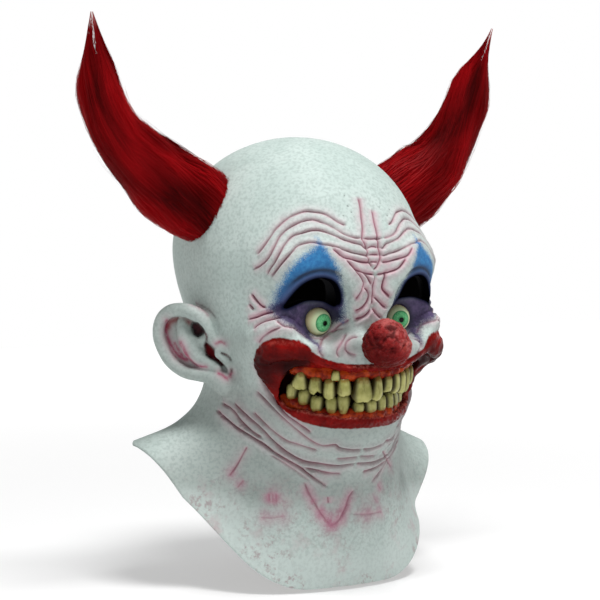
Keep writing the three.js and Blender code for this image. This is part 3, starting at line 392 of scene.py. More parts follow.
# ------------------------------------------------------------------ meshing
def gradient(field, p, h=0.25):
    g = np.empty_like(p)
    for i in range(3):
        q = p.copy()
        q[:, i] += h
        a = field(q[:, 0], q[:, 1], q[:, 2])
        q[:, i] -= 2 * h
        g[:, i] = (a - field(q[:, 0], q[:, 1], q[:, 2])) / (2 * h)
    return g


def pull(field, p, rounds=2):
    for _ in range(rounds):
        d = field(p[:, 0], p[:, 1], p[:, 2])
        g = gradient(field, p)
        step = d[:, None] * g / np.maximum((g * g).sum(1), 0.2)[:, None]
        length = np.linalg.norm(step, axis=1)[:, None]
        p = p - step * np.minimum(1, 1.5 / np.maximum(length, 1e-9))
    return p


def surface(field, low, high, h):
    """The field's zero surface as points and triangles that face outwards."""
    axes = [np.arange(a, b + h, h) for a, b in zip(low, high)]
    grid = np.empty([len(a) for a in axes], F32)
    ff, zz = (m.ravel() for m in np.meshgrid(axes[1], axes[2], indexing="ij"))
    for i, x in enumerate(axes[0]):
        grid[i] = field(np.full(len(ff), x), ff, zz).reshape(grid.shape[1:])
    vol = openvdb.FloatGrid(background=float(4 * h))
    vol.copyFromArray(grid)
    points, quads = vol.convertToQuads(0.0)
    p = np.asarray(points, float) * h + np.array(low, float)
    q = np.asarray(quads, np.int64)
    short = np.linalg.norm(p[q[:, 0]] - p[q[:, 2]], axis=1) < np.linalg.norm(p[q[:, 1]] - p[q[:, 3]], axis=1)
    t = np.where(short[:, None, None], q[:, [[0, 1, 2], [0, 2, 3]]], q[:, [[0, 1, 3], [1, 2, 3]]]).reshape(-1, 3)
    p = pull(field, p)
    n = np.cross(p[t[:, 1]] - p[t[:, 0]], p[t[:, 2]] - p[t[:, 0]])
    out = gradient(field, p[t].mean(1))
    if (n * out).sum() < 0:
        t = t[:, ::-1]
    return p, t


def edge_table(t, count):
    e = np.concatenate([t[:, [0, 1]], t[:, [1, 2]], t[:, [2, 0]]])
    key = e.min(1) * count + e.max(1)
    keys, inverse = np.unique(key, return_inverse=True)
    return np.stack([keys // count, keys % count], 1), inverse.reshape(3, -1).T


def refine(field, p, t, wanted, rounds):
    """Halves each edge that is longer than wanted there, so that no crack opens, and pulls new points to the field."""
    for _ in range(rounds):
        edges, of = edge_table(t, len(p))
        middle = (p[edges[:, 0]] + p[edges[:, 1]]) / 2
        long = np.linalg.norm(p[edges[:, 0]] - p[edges[:, 1]], axis=1) > 1.5 * wanted(middle)
        if not long.any():
            break
        new = np.full(len(edges), -1)
        new[long] = len(p) + np.arange(long.sum())
        p = np.concatenate([p, pull(field, middle[long])])
        m = new[of]
        out = [t[(m < 0).all(1)]]
        count = (m >= 0).sum(1)
        for k in range(3):  # one edge halved
            s = (count == 1) & (m[:, k] >= 0)
            a, b, c, n = t[s, k], t[s, (k + 1) % 3], t[s, (k + 2) % 3], m[s, k]
            out += [np.stack([a, n, c], 1), np.stack([n, b, c], 1)]
            s = (count == 2) & (m[:, k] < 0)
            a, b, c = t[s, k], t[s, (k + 1) % 3], t[s, (k + 2) % 3]
            nb, nc = m[s, (k + 1) % 3], m[s, (k + 2) % 3]
            out += [np.stack([nb, c, nc], 1), np.stack([a, b, nb], 1), np.stack([a, nb, nc], 1)]
        s = count == 3
        a, b, c = t[s].T
        ab, bc, ca = m[s].T
        out += [np.stack(v, 1) for v in ((a, ab, ca), (ab, b, bc), (ca, bc, c), (ab, bc, ca))]
        t = np.concatenate(out)
    return p, t


def clip(p, t, s):
    """Keeps what lies where s < 0. Returns the points, the triangles and the cut edges, ordered as the faces run."""
    inside = s < 0
    n = inside[t].sum(1)
    keep = [t[n == 3]]
    cross = t[(n == 1) | (n == 2)]
    edges, of = edge_table(cross, len(p))
    split = inside[edges[:, 0]] != inside[edges[:, 1]]
    new = np.full(len(edges), -1)
    new[split] = len(p) + np.arange(split.sum())
    a, b = edges[split].T
    k = (s[a] / (s[a] - s[b]))[:, None]
    p = np.concatenate([p, p[a] + (p[b] - p[a]) * k])
    m = new[of]
    cut = []
    for k in range(3):
        i, j, l = k, (k + 1) % 3, (k + 2) % 3
        one = inside[cross[:, i]] & ~inside[cross[:, j]] & ~inside[cross[:, l]]
        keep.append(np.stack([cross[one, i], m[one, i], m[one, l]], 1))
        cut.append(np.stack([m[one, i], m[one, l]], 1))
        two = ~inside[cross[:, i]] & inside[cross[:, j]] & inside[cross[:, l]]
        keep += [np.stack([m[two, i], cross[two, j], cross[two, l]], 1), np.stack([m[two, i], cross[two, l], m[two, l]], 1)]
        cut.append(np.stack([m[two, l], m[two, i]], 1))
    t, cut = np.concatenate(keep), np.concatenate(cut)
    used = np.unique(t)
    back = np.full(len(p), -1)
    back[used] = np.arange(len(used))
    return p[used], back[t], back[cut]


def hem(p, t, cut, rows):
    """Adds a strip that runs from the cut edges through rows of points, one array of places per row."""
    ring = np.unique(cut)
    at = np.full(len(p), -1)
    at[ring] = np.arange(len(ring))
    ids = [ring]
    for places in rows:
        ids.append(len(p) + np.arange(len(ring)))
        p = np.concatenate([p, places])
    for upper, lower in zip(ids[:-1], ids[1:]):
        a, b = upper[at[cut[:, 0]]], upper[at[cut[:, 1]]]
        c, d = lower[at[cut[:, 0]]], lower[at[cut[:, 1]]]
        t = np.concatenate([t, np.stack([b, a, c], 1), np.stack([b, c, d], 1)])
    return p, t


LINES = {}


def crease_line(points):
    """The crease's points on a smooth run, laid on the skin."""
    key = (points[0], points[-1], len(points))
    if key not in LINES:
        LINES[key] = pull(skin, flowing(points, 3), 3)
    return LINES[key]


def crease_fields(p, rows, mirrored):
    """For each crease: distance of each point to it, and how far the point is from the crease's ends, 0 to 1."""
    q = p.astype(F32).copy()
    if mirrored:
        q[:, 0] = np.abs(q[:, 0])
    for depth, pink, points in rows:
        line = crease_line(points).astype(F32)
        low, high = line.min(0) - 9, line.max(0) + 9
        near = np.nonzero(((q > low) & (q < high)).all(1))[0]
        if not len(near):
            continue
        best = np.full(len(near), 1e6, F32)
        along = np.zeros(len(near), F32)
        steps = np.linalg.norm(np.diff(line, axis=0), axis=1)
        total, start = steps.sum(), np.concatenate([[0], np.cumsum(steps)])
        for k in range(len(line) - 1):
            a, ab = line[k], line[k + 1] - line[k]
            r = q[near] - a
            s = np.clip(r @ ab / max(float(ab @ ab), 1e-6), 0, 1)
            d = ((r - s[:, None] * ab) ** 2).sum(1)
            closer = d < best
            best = np.where(closer, d, best)
            along = np.where(closer, start[k] + s * steps[k], along)
        edge = np.minimum(along, total - along)
        yield near, np.sqrt(best), smooth(edge / min(4.0, 0.3 * total) + 0.2), depth, pink


rng = np.random.default_rng(20)
WAVES = [(rng.normal(size=3) * k, rng.uniform(0, 6.28), 1 / k) for k in np.geomspace(0.08, 0.5, 14)]


def grain(p, scale=1.0):
    """A smooth random field, about -1 to 1."""
    g = 0
    for k, phase, a in WAVES:
        g = g + np.sin(p @ (k * scale) + phase) * a**0.35
    return g / 8


def to_row(p):
    return np.stack([p[:, 0], -p[:, 1], p[:, 2] - CROWN], 1) / 1000.0


def mesh_object(name, p, t, fields=None, normals=None):
    mesh = bpy.data.meshes.new(name)
    p = np.ascontiguousarray(p, F32)
    t = np.ascontiguousarray(t, np.int32)
    mesh.vertices.add(len(p))
    mesh.vertices.foreach_set("co", p.ravel())
    mesh.loops.add(t.size)
    mesh.loops.foreach_set("vertex_index", t.ravel())
    mesh.polygons.add(len(t))
    mesh.polygons.foreach_set("loop_start", np.arange(0, t.size, t.shape[1], dtype=np.int32))
    mesh.update(calc_edges=True)
    mesh.polygons.foreach_set("use_smooth", np.ones(len(t), bool))
    for key, values in (fields or {}).items():
        mesh.attributes.new(key, "FLOAT", "POINT").data.foreach_set("value", np.ascontiguousarray(values, F32))
    if normals is not None:
        mesh.normals_split_custom_set_from_vertices(normals.tolist())
    obj = bpy.data.objects.new(name, mesh)
    bpy.context.scene.collection.objects.link(obj)
    return obj


def vertex_normals(p, t):
    n = np.cross(p[t[:, 1]] - p[t[:, 0]], p[t[:, 2]] - p[t[:, 0]])
    out = np.zeros_like(p)
    for k in range(3):
        for i in range(3):
            out[:, i] += np.bincount(t[:, k], n[:, i], len(p))
    return out / np.maximum(np.linalg.norm(out, axis=1), 1e-12)[:, None]


zs = np.linspace(60, 110, 2001)
CROWN = float(np.interp(0, lining(np.zeros(2001), np.zeros(2001), zs), zs))

# ------------------------------------------------------------------ materials
class Paint:
    """Short ways to add shader nodes to one material."""

    def __init__(self, name):
        self.material = bpy.data.materials.new(name)
        self.material.use_nodes = True
        self.tree = self.material.node_tree
        self.shader = self.tree.nodes["Principled BSDF"]
        self.place = None

    def put(self, socket, value):
        if isinstance(value, bpy.types.NodeSocket):
            self.tree.links.new(value, socket)
        elif isinstance(value, (tuple, list)) and len(value) == 3 and socket.type == "RGBA":
            socket.default_value = (*value, 1)
        else:
            socket.default_value = value

    def set(self, **inputs):
        for key, value in inputs.items():
            self.put(self.shader.inputs[key.replace("_", " ")], value)
        return self.material

    def field(self, name):
        node = self.tree.nodes.new("ShaderNodeAttribute")
        node.attribute_name = name
        return node.outputs["Fac"]

    def coords(self):
        if self.place is None:
            self.place = self.tree.nodes.new("ShaderNodeTexCoord").outputs["Object"]
        return self.place

    def noise(self, per_metre, detail=3.0, rough=0.55, stretch=None, lift=0.0):
        node = self.tree.nodes.new("ShaderNodeTexNoise")
        node.inputs["Scale"].default_value = per_metre
        node.inputs["Detail"].default_value = detail
        node.inputs["Roughness"].default_value = rough
        node.inputs["Distortion"].default_value = lift
        source = self.coords()
        if stretch:
            m = self.tree.nodes.new("ShaderNodeMapping")
            m.inputs["Scale"].default_value = stretch
            self.tree.links.new(source, m.inputs["Vector"])
            source = m.outputs["Vector"]
        self.tree.links.new(source, node.inputs["Vector"])
        return node.outputs["Fac"]

    def cells(self, per_metre):
        node = self.tree.nodes.new("ShaderNodeTexVoronoi")
        node.inputs["Scale"].default_value = per_metre
        self.tree.links.new(self.coords(), node.inputs["Vector"])
        return node.outputs["Distance"]

    def ramp(self, value, a, b, low=0.0, high=1.0, soft=True):
        node = self.tree.nodes.new("ShaderNodeMapRange")
        node.interpolation_type = "SMOOTHSTEP" if soft else "LINEAR"
        node.clamp = True
        self.put(node.inputs["Value"], value)
        for key, v in zip(("From Min", "From Max", "To Min", "To Max"), (a, b, low, high)):
            node.inputs[key].default_value = v
        return node.outputs["Result"]

    def math(self, kind, a, b=None, c=None):
        node = self.tree.nodes.new("ShaderNodeMath")
        node.operation = kind
        for socket, v in zip(node.inputs, (a, b, c)):
            if v is not None:
                self.put(socket, v)
        return node.outputs["Value"]

    def mix(self, share, a, b, kind="MIX"):
        node = self.tree.nodes.new("ShaderNodeMix")
        node.data_type = "RGBA"
        node.blend_type = kind
        self.put(node.inputs[0], share)
        self.put(node.inputs[6], a)
        self.put(node.inputs[7], b)
        return node.outputs[2]

    def bump(self, height, strength, distance):
        node = self.tree.nodes.new("ShaderNodeBump")
        node.inputs["Strength"].default_value = strength
        node.inputs["Distance"].default_value = distance
        self.put(node.inputs["Height"], height)
        return node.outputs["Normal"]


def latex_paint():
    m = Paint("painted latex")
    coarse, grainy, fine = m.noise(28, 4), m.noise(420, 3), m.noise(1500, 2)
    colour = m.mix(m.ramp(coarse, 0.3, 0.7), (0.42, 0.505, 0.475), (0.49, 0.57, 0.54))
    colour = m.mix(m.ramp(grainy, 0.42, 0.66, 0.0, 0.5), colour, (0.28, 0.345, 0.325))
    # painted shade, partly grey grime: under the jaw, on the neck, behind the ears, on the pad beside the nose and on
    # the ear lobes
    colour = m.mix(m.math("MULTIPLY", m.field("shade_and_grime"), m.ramp(m.noise(60, 4), 0.3, 0.7, 0.75, 1.0)), colour, (0.20, 0.205, 0.195))
    colour = m.mix(m.ramp(m.field("bib"), 0.5, 0.9, 0.0, 0.4), colour, (0.62, 0.69, 0.665))
    # pink washed into the creases, with a darker core
    crease, wash = m.field("crease"), m.field("wash")
    broken = m.ramp(m.noise(110, 4), 0.32, 0.62, 0.35, 1.0)
    mottled = m.ramp(m.noise(75, 5, 0.7), 0.3, 0.68, 0.35, 0.95)
    colour = m.mix(m.math("MULTIPLY", m.field("haze"), mottled), colour, (0.52, 0.355, 0.40))
    colour = m.mix(m.math("MULTIPLY", m.math("MULTIPLY", m.ramp(crease, 0.3, 2.8, 0.6, 0.0), wash), broken), colour, (0.47, 0.215, 0.265))
    colour = m.mix(m.math("MULTIPLY", wash, m.ramp(crease, 0.15, 1.0, 0.9, 0.0)), colour, (0.20, 0.05, 0.085))
    # stains on the bib and the ears
    stain = m.math("MULTIPLY", m.ramp(m.noise(170, 6, 0.78), 0.51, 0.61), m.field("bib"))
    stain = m.math("MULTIPLY", stain, m.ramp(m.noise(30, 3), 0.44, 0.58))
    colour = m.mix(m.math("MULTIPLY", stain, 0.55), colour, (0.27, 0.14, 0.16))
    flush = m.math("MULTIPLY", m.ramp(m.noise(45, 4, 0.65), 0.52, 0.72), m.field("bib"))
    colour = m.mix(m.math("MULTIPLY", flush, 0.5), colour, (0.46, 0.30, 0.33))
    streaks = m.ramp(m.noise(190, 5, 0.7), 0.3, 0.6, 0.4, 1.0)
    colour = m.mix(m.math("MULTIPLY", m.field("ear_pink"), streaks), colour, (0.30, 0.045, 0.10))
    colour = m.mix(m.field("ear_red"), colour, (0.21, 0.012, 0.016))
    # dark red in the ear's hollows and creases, dark enough to be painted shade as well
    colour = m.mix(m.field("ear_maroon_and_shade"), colour, m.mix(m.ramp(m.noise(260, 4, 0.7), 0.35, 0.65), (0.022, 0.002, 0.005), (0.075, 0.004, 0.012)))
    rubbed = m.math("MULTIPLY", m.field("smear"), m.ramp(m.noise(210, 5, 0.72), 0.3, 0.6, 0.25, 1.0))
    colour = m.mix(m.math("MULTIPLY", rubbed, 0.85), colour, (0.37, 0.125, 0.20))
    # pores high on the forehead
    colour = m.mix(m.ramp(m.field("pore"), 0.5, 1.1, 0.75, 0.0), colour, (0.17, 0.19, 0.18))
    # blue above the eye, purple round and below it, sprayed on with soft edges
    edge = m.ramp(m.noise(240, 4, 0.65), 0.2, 0.8, -1.3, 1.3, False)
    spray = m.ramp(m.noise(1400, 2), 0.3, 0.7, -1.6, 1.6, False)
    blue = m.math("ADD", m.math("ADD", m.field("blue"), edge), spray)
    airbrush = m.ramp(m.noise(330, 4, 0.7), 0.3, 0.7)
    sky = m.mix(airbrush, (0.006, 0.105, 0.30), (0.022, 0.185, 0.42))
    sky = m.mix(m.ramp(m.field("sight"), 4.0, 12.0, 0.75, 0.0), sky, (0.010, 0.05, 0.16))
    sky = m.mix(m.ramp(m.field("sight"), 2.0, 6.0, 0.65, 0.0), sky, (0.055, 0.06, 0.15))
    # painted shade: a near-black line in the fold above the eye hole
    sky = m.mix(m.field("lid"), sky, (0.004, 0.010, 0.035))
    colour = m.mix(m.ramp(blue, -3.2, 2.6, 0.97, 0.0), colour, sky)
    purple = m.math("ADD", m.math("ADD", m.field("purple"), edge), spray)
    violet = m.mix(m.ramp(m.noise(150, 5, 0.7), 0.35, 0.65), (0.022, 0.014, 0.055), (0.085, 0.055, 0.145))
    # painted shade round the eyeball in its pocket and at the corners of the eye
    violet = m.mix(m.field("socket"), violet, (0.010, 0.007, 0.030))
    colour = m.mix(m.math("MULTIPLY", m.ramp(purple, -3.4, 2.8, 0.97, 0.0), m.field("under")), colour, violet)
    # painted shade: the eye holes' edges and walls are darkened to near black
    colour = m.mix(m.ramp(m.field("sight"), 0.4, 3.6, 0.96, 0.0), colour, (0.006, 0.008, 0.024))
    colour = m.mix(m.ramp(m.field("sight"), 0.2, 0.9, 0.98, 0.0), colour, (0.0008, 0.0008, 0.0015))
    # red lips, with painted shade under the lobe, in their folds and inside the mouth
    lip = m.math("ADD", m.field("lip"), m.ramp(m.noise(300, 3), 0.2, 0.8, -0.5, 0.5, False))
    red = m.mix(m.ramp(m.noise(70, 5, 0.65), 0.3, 0.7), (0.10, 0.0022, 0.002), (0.215, 0.006, 0.005))
    red = m.mix(m.ramp(m.noise(260, 4, 0.7, lift=0.6), 0.52, 0.72, 0.0, 0.75), red, (0.05, 0.0015, 0.002))
    # painted highlight: paler red glints where the lips face upwards
    lip_glint = m.math("MULTIPLY", m.field("lip_top"), m.ramp(m.noise(340, 5, 0.75), 0.43, 0.6, 0.1, 0.78))
    red = m.mix(lip_glint, red, (0.58, 0.14, 0.11))
    red = m.mix(m.field("lip_shade"), red, (0.028, 0.001, 0.0012))
    in_lip = m.ramp(lip, -0.3, 0.8, 1.0, 0.0)
    colour = m.mix(in_lip, colour, red)
    # painted shade: nearly black in the mouth's recess and in the groove under the lobe
    inside = m.field("inside")
    colour = m.mix(m.ramp(inside, 0.0, 7.0), colour, (0.02, 0.002, 0.002))
    rough = m.ramp(in_lip, 0.0, 1.0, 0.62, 0.24)
    height = m.math("ADD", m.math("MULTIPLY", grainy, 0.6), m.math("MULTIPLY", fine, 0.4))
    return m.set(Base_Color=colour, Roughness=rough, Specular_IOR_Level=m.math("MULTIPLY", m.ramp(in_lip, 0.0, 1.0, 0.22, 0.05), m.math("MULTIPLY", m.ramp(m.field("sight"), 0.3, 5.0), m.math("MULTIPLY", m.ramp(m.field("ear_maroon_and_shade"), 0.0, 0.9, 1.0, 0.05), m.ramp(m.field("ear_red"), 0.0, 0.9, 1.0, 0.15)))), Normal=m.bump(height, 0.4, 0.0005))


def inside_paint():
    m = Paint("bare latex inside")
    colour = m.mix(m.ramp(m.noise(60, 4), 0.3, 0.7), (0.27, 0.26, 0.22), (0.34, 0.33, 0.28))
    # painted shade: the inside turns near black towards the top of the head
    colour = m.mix(m.field("inner_shade"), colour, (0.008, 0.008, 0.009))
    return m.set(Base_Color=colour, Roughness=0.8, Specular_IOR_Level=0.1)


def nose_paint():
    m = Paint("crusted red latex")
    crust = m.field("crust")  # 1 on the lumps, 0 in the cracks
    colour = m.mix(m.ramp(m.noise(150, 5, 0.7), 0.3, 0.7), (0.16, 0.006, 0.007), (0.31, 0.02, 0.02))
    colour = m.mix(m.ramp(m.noise(90, 3), 0.55, 0.75, 0.0, 0.6), colour, (0.30, 0.045, 0.028))
    # painted shade: the underside of the nose is darker
    colour = m.mix(m.ramp(m.field("rise"), -0.45, 0.4, 0.75, 0.0), colour, (0.065, 0.002, 0.002))
    # painted light: pale pink speckles on the upper side of the nose
    colour = m.mix(m.math("MULTIPLY", m.ramp(m.field("rise"), 0.05, 0.5), m.ramp(m.noise(230, 4, 0.7), 0.42, 0.6, 0.08, 0.62)), colour, (0.56, 0.15, 0.14))
    # painted shade in the cracks between the lumps and in the pits
    colour = m.mix(m.ramp(crust, 0.04, 0.46, 0.82, 0.0), colour, (0.045, 0.002, 0.0025))
    height = m.noise(620, 5, 0.75)
    return m.set(Base_Color=colour, Roughness=0.3, Specular_IOR_Level=0.06, Normal=m.bump(height, 0.9, 0.0014))


def eye_paint():
    m = Paint("false eye")
    turn = m.field("turn")  # degrees from the middle of the pupil
    streak = m.noise(900, 4, 0.6)
    white = m.mix(m.ramp(turn, 46, 80), (0.62, 0.74, 0.45), (0.66, 0.58, 0.33))
    white = m.mix(m.ramp(m.noise(180, 3), 0.5, 0.75, 0.0, 0.35), white, (0.58, 0.52, 0.28))
    green = m.mix(m.ramp(streak, 0.3, 0.7), (0.06, 0.33, 0.12), (0.17, 0.54, 0.25))
    green = m.mix(m.ramp(turn, 31, 41, 0.0, 0.75), green, (0.02, 0.15, 0.06))
    green = m.mix(m.ramp(turn, 11, 20, 0.55, 0.0), green, (0.02, 0.17, 0.05))
    colour = m.mix(m.ramp(turn, 39, 43, 1.0, 0.0), white, green)
    colour = m.mix(m.ramp(turn, 9.5, 12.5, 1.0, 0.0), colour, (0.002, 0.006, 0.003))
    return m.set(Base_Color=colour, Roughness=0.14, Specular_IOR_Level=0.12)


def tooth_paint():
    m = Paint("stained teeth")
    rise = m.field("rise")  # 0 at the root, 1 at the biting edge
    colour = m.mix(m.ramp(m.noise(130, 4), 0.3, 0.7), (0.28, 0.275, 0.078), (0.46, 0.445, 0.165))
    dirt = m.math("ADD", m.ramp(rise, 0.05, 0.5, 1.0, 0.0), m.ramp(m.noise(210, 5, 0.7), 0.3, 0.7, -0.35, 0.35, False))
    colour = m.mix(m.ramp(dirt, 0.3, 1.1, 0.0, 0.9), colour, (0.17, 0.075, 0.010))
    colour = m.mix(m.ramp(m.noise(330, 4, 0.7, stretch=(1, 1, 0.3)), 0.52, 0.72, 0.0, 0.6), colour, (0.12, 0.095, 0.02))
    colour = m.mix(m.field("gap"), colour, (0.022, 0.014, 0.004))
    return m.set(Base_Color=colour, Roughness=0.22, Specular_IOR_Level=0.15)


def gum_paint():
    m = Paint("glossy gums")
    colour = m.mix(m.ramp(m.noise(140, 4), 0.35, 0.65), (0.13, 0.004, 0.002), (0.42, 0.05, 0.008))
    colour = m.mix(m.ramp(m.noise(260, 3), 0.5, 0.7, 0.0, 0.6), colour, (0.09, 0.004, 0.002))
    # painted shade: the gums go nearly black further back behind the teeth
    colour = m.mix(m.ramp(m.field("deep"), 0.0, 1.0), colour, (0.012, 0.001, 0.001))
    return m.set(Base_Color=colour, Roughness=0.15, Specular_IOR_Level=0.1, Normal=m.bump(m.noise(420, 3), 0.5, 0.001))


def hair_paint():
    m = Paint("red hair")
    shade, along = m.field("shade"), m.field("along")
    colour = m.mix(shade, (0.028, 0.0004, 0.0006), (0.21, 0.0022, 0.0036))
    colour = m.mix(m.ramp(along, 0.93, 1.01, 0.0, 0.6), colour, (0.45, 0.16, 0.16))
    # painted light: the hair also glows faintly in its own colour
    return m.set(Base_Color=colour, Roughness=0.5, Specular_IOR_Level=0.03, Emission_Color=colour, Emission_Strength=0.32)


# ------------------------------------------------------------------ the skin
def wanted_edge(p):
    near = np.full(len(p), 2.4)
    face = (p[:, 1] > 40) & (p[:, 2] > -160) & (p[:, 2] < 50)
    near[face] = 1.2
    ears = np.linalg.norm(np.stack([np.abs(p[:, 0]), p[:, 1], p[:, 2]], 1) - EAR_AT, axis=1) < 42
    near[ears] = 1.2
    for rows, mirrored in ((CREASES, True), (MIDDLE_CREASES, False)):
        for ids, d, ends, depth, pink in crease_fields(p, rows, mirrored):
            near[ids[d < 2.2]] = 0.55
    return near


p, t = surface(skin, (-158, -122, -268), (158, 132, 96), 2.4)
outside = beyond_edge(*p.T)
ok = (outside[t] < 6).any(1)
used = np.unique(t[ok])
back = np.full(len(p), -1)
back[used] = np.arange(len(used))
p, t = p[used], back[t[ok]]
p, t = refine(skin, p, t, wanted_edge, 2)

p, t, cut = clip(p, t, beyond_edge(*p.T))
n = gradient(body, p[np.unique(cut)])
n /= np.linalg.norm(n, axis=1)[:, None]
ring = p[np.unique(cut)]
e = gradient(beyond_edge, ring)
e -= n * (e * n).sum(1)[:, None]
e /= np.maximum(np.linalg.norm(e, axis=1), 1e-6)[:, None]
hem_start = len(p)
p, t = hem(p, t, cut, [ring + e * 0.9 * math.sin(math.pi * k) - n * WALL * k for k in (0.2, 0.5, 0.8, 1.0)])
on_hem = np.arange(len(p)) >= hem_start
s = -sight_distance(*p.T)
p2, t, cut = clip(p, t, s)
ring = p2[np.unique(cut)]
p, t = hem(p2, t, cut, [ring + np.array([0, -k, 0]) for k in (0.7, 2.5, 6.0)])

n = gradient(skin, p, 0.4)
n /= np.maximum(np.linalg.norm(n, axis=1), 1e-6)[:, None]
lift = np.zeros(len(p))
crease = np.full(len(p), 20.0)
wash = np.zeros(len(p))
haze = np.zeros(len(p))
for rows, mirrored in ((CREASES, True), (MIDDLE_CREASES, False)):
    for ids, d, ends, depth, pink in crease_fields(p, rows, mirrored):
        groove = np.exp(-((d / GROOVE) ** 2))
        ridge = np.exp(-(((d - RIDGE_AT) / RIDGE) ** 2))
        uneven = np.clip(0.9 + 0.4 * grain(p[ids], 0.8), 0.35, 1.4)
        throat = smooth((-p[ids, 2] - 98) / 10) * smooth((p[ids, 2] + 168) / 10)
        uneven = uneven * (1 + 0.3 * throat - 0.35 * smooth((-p[ids, 2] - 165) / 8))
        lift[ids] += depth * ends * uneven * (0.45 * ridge - 1.1 * groove)
        reach = d + (1 - ends) * 2.0
        closer = reach < crease[ids]
        crease[ids] = np.where(closer, reach, crease[ids])
        wash[ids] = np.maximum(wash[ids], pink * ends * np.clip(0.55 + 0.45 * uneven + 0.3 * throat - 0.35 * smooth((-p[ids, 2] - 165) / 8), 0.3, 1.15) * np.exp(-((d / 4.0) ** 2)))
        haze[ids] = np.maximum(haze[ids], pink**1.6 * ends * np.exp(-((d / 5.0) ** 2)))
u, v, w = ear_frame(*p.T)
on_ear = (np.abs(u) < 45) & (np.abs(v) < 45) & (np.abs(w) < 18)
ax = np.abs(p[:, 0])
lip_d = np.full(len(p), 30.0)
front = p[:, 1] > 40
lip_d[front] = chain(ax[front], p[front, 1], p[front, 2], LIP)
lip_field = lip_d - 1.0
# inside: depth in the mouth's recess, for its painted shade
inside = np.where(front, -(body(*p.T)) - 2.0, -5.0)
inside = np.where(front & (mouth_gap(p[:, 0], p[:, 2]) < 3), inside, -5.0)
line = pull(skin, flowing(UNDER_LOBE, 4), 3)
under = chain(ax[front], p[front, 1], p[front, 2], np.concatenate([line, np.zeros((len(line), 1))], 1), 1)
lift[front] -= 3.2 * (1 - 0.8 * smooth((ax[front] - 66) / 8)) * np.exp(-((under / 2.8) ** 2))
# the left cheek is flatter above the lobe of the lip and fuller below it
left = smooth((p[:, 0] - 55) / 12) * smooth((p[:, 1] - 38) / 16)
lift += left * (4.2 * np.exp(-(((p[:, 2] + 79) / 7) ** 2)) - 1.5 * np.exp(-(((p[:, 2] + 48) / 9) ** 2)))
# painted shade: the groove under the lobe is darkened as the mouth's recess is
inside[front] = np.maximum(inside[front], 5.5 * np.exp(-((under / 1.9) ** 2)) - 1.0)
# painted shade on the lips: under the lobe, in the corner below it, along the lower lip's underside and on the lobe's
# lower half
lip_shade = np.zeros(len(p))
lip_shade[front] = 0.75 * np.exp(-((under / 5.0) ** 2)) + 0.85 * smooth((ax[front] - 47) / 8) * smooth((-p[front, 2] - 78) / 4) * smooth((p[front, 2] + 106) / 14) + 0.3 * smooth((-p[front, 2] - 123) / 4) + 0.55 * smooth((ax[front] - 46) / 10) * smooth((-p[front, 2] - 65) / 10) * smooth((p[front, 2] + 84) / 6)
lip_shade = np.clip(lip_shade, 0, 0.9)
sight = np.where(front, np.abs(outline_distance(ax, p[:, 2], SIGHT_CURVE)), 30.0)
over_eye = smooth((p[:, 2] + 35) / 7) * smooth((66 - ax) / 8)
# painted shade along the lid's fold above the eye hole, where the groove below is carved
lid = 0.9 * np.exp(-(((sight - 5.8) / 1.5) ** 2)) * over_eye
lift += (0.8 * np.exp(-(((sight - 3.0) / 1.8) ** 2)) - 1.2 * np.exp(-(((sight - 5.8) / 1.2) ** 2))) * over_eye
smear = np.zeros(len(p))
for x0, f0, z0, wide, strength in SMEARS:
    far = np.linalg.norm((p - (x0, f0, z0)) * (1, 1, 0.8), axis=1) / wide
    smear = np.maximum(smear, strength * np.exp(-(far**2)))
pore = np.full(len(p), 9.0)
for x0, f0, z0, size in PORES:
    close = np.linalg.norm(p - (x0, f0, z0), axis=1) / size
    pore = np.minimum(pore, close)
    lift -= 0.5 * size * np.exp(-(close**2))
lip_field = np.where(front & (mouth_gap(p[:, 0], p[:, 2]) < 3.0) & (inside > -4), -1.0, lip_field)
ringed = outline_distance(ax, p[:, 2], [(x, z) for x, f, z, r in LIP])
lip_shade = lip_shade * (1 - 0.6 * np.exp(-(((ringed + 0.5) / 3.2) ** 2)) * smooth((ax - 50) / 8) * smooth((-p[:, 2] - 84) / 6))
lip_field = np.where(front, np.minimum(lip_field, ringed - 4.2 * smooth((ax - 48) / 8)), lip_field)
# painted shade: the corner of the mouth inside the lip's ring is darkened
inside = np.where(front, np.maximum(inside, 7.0 * smooth((-ringed - 2.0) / 4.5) * smooth((-p[:, 2] - 78) / 5) * smooth((ax - 44) / 8)), inside)
# the lips are wrinkled across, the rest has a fine unevenness of cast latex
across = np.sin(np.arctan2(p[:, 2] + 104, ax) * 46 + 2.2 * grain(p, 0.6))
finer = np.sin(np.arctan2(p[:, 2] + 104, ax) * 103 + 3.1 * grain(p + 70, 0.8))
lift += smooth((1.8 - lip_d) / 1.5) * (0.34 * across + 0.16 * finer + 0.4 * grain(p, 1.7))
lift += 0.12 * grain(p, 1.0) * (np.abs(p[:, 2]) < 400)
p = p + n * lift[:, None]

facing = np.sign(p[:, 0]) * n[:, 0] * EAR_W[0] + n[:, 1] * EAR_W[1]
in_front = on_ear & (w > -13) & (facing > -0.35)
us, vs = u + EAR_LEAN[0] * w, v + EAR_LEAN[1] * w


def stroke(points, wide):
    """1 along a painted line of the ear, falling off over its half width."""
    far = np.full(len(p), 50.0)
    line = flowing(points, 4)
    for (a0, a1), (b0, b1) in zip(line[:-1], line[1:]):
        k = np.clip(((us - a0) * (b0 - a0) + (vs - a1) * (b1 - a1)) / ((b0 - a0) ** 2 + (b1 - a1) ** 2), 0, 1)
        far = np.minimum(far, np.hypot(us - a0 - k * (b0 - a0), vs - a1 - k * (b1 - a1)))
    return np.where(in_front, np.exp(-((far / wide) ** 2)), 0)


def ear_area(outline, soft):
    return np.where(in_front, smooth(0.5 - outline_distance(us, vs, outline) / soft), 0)


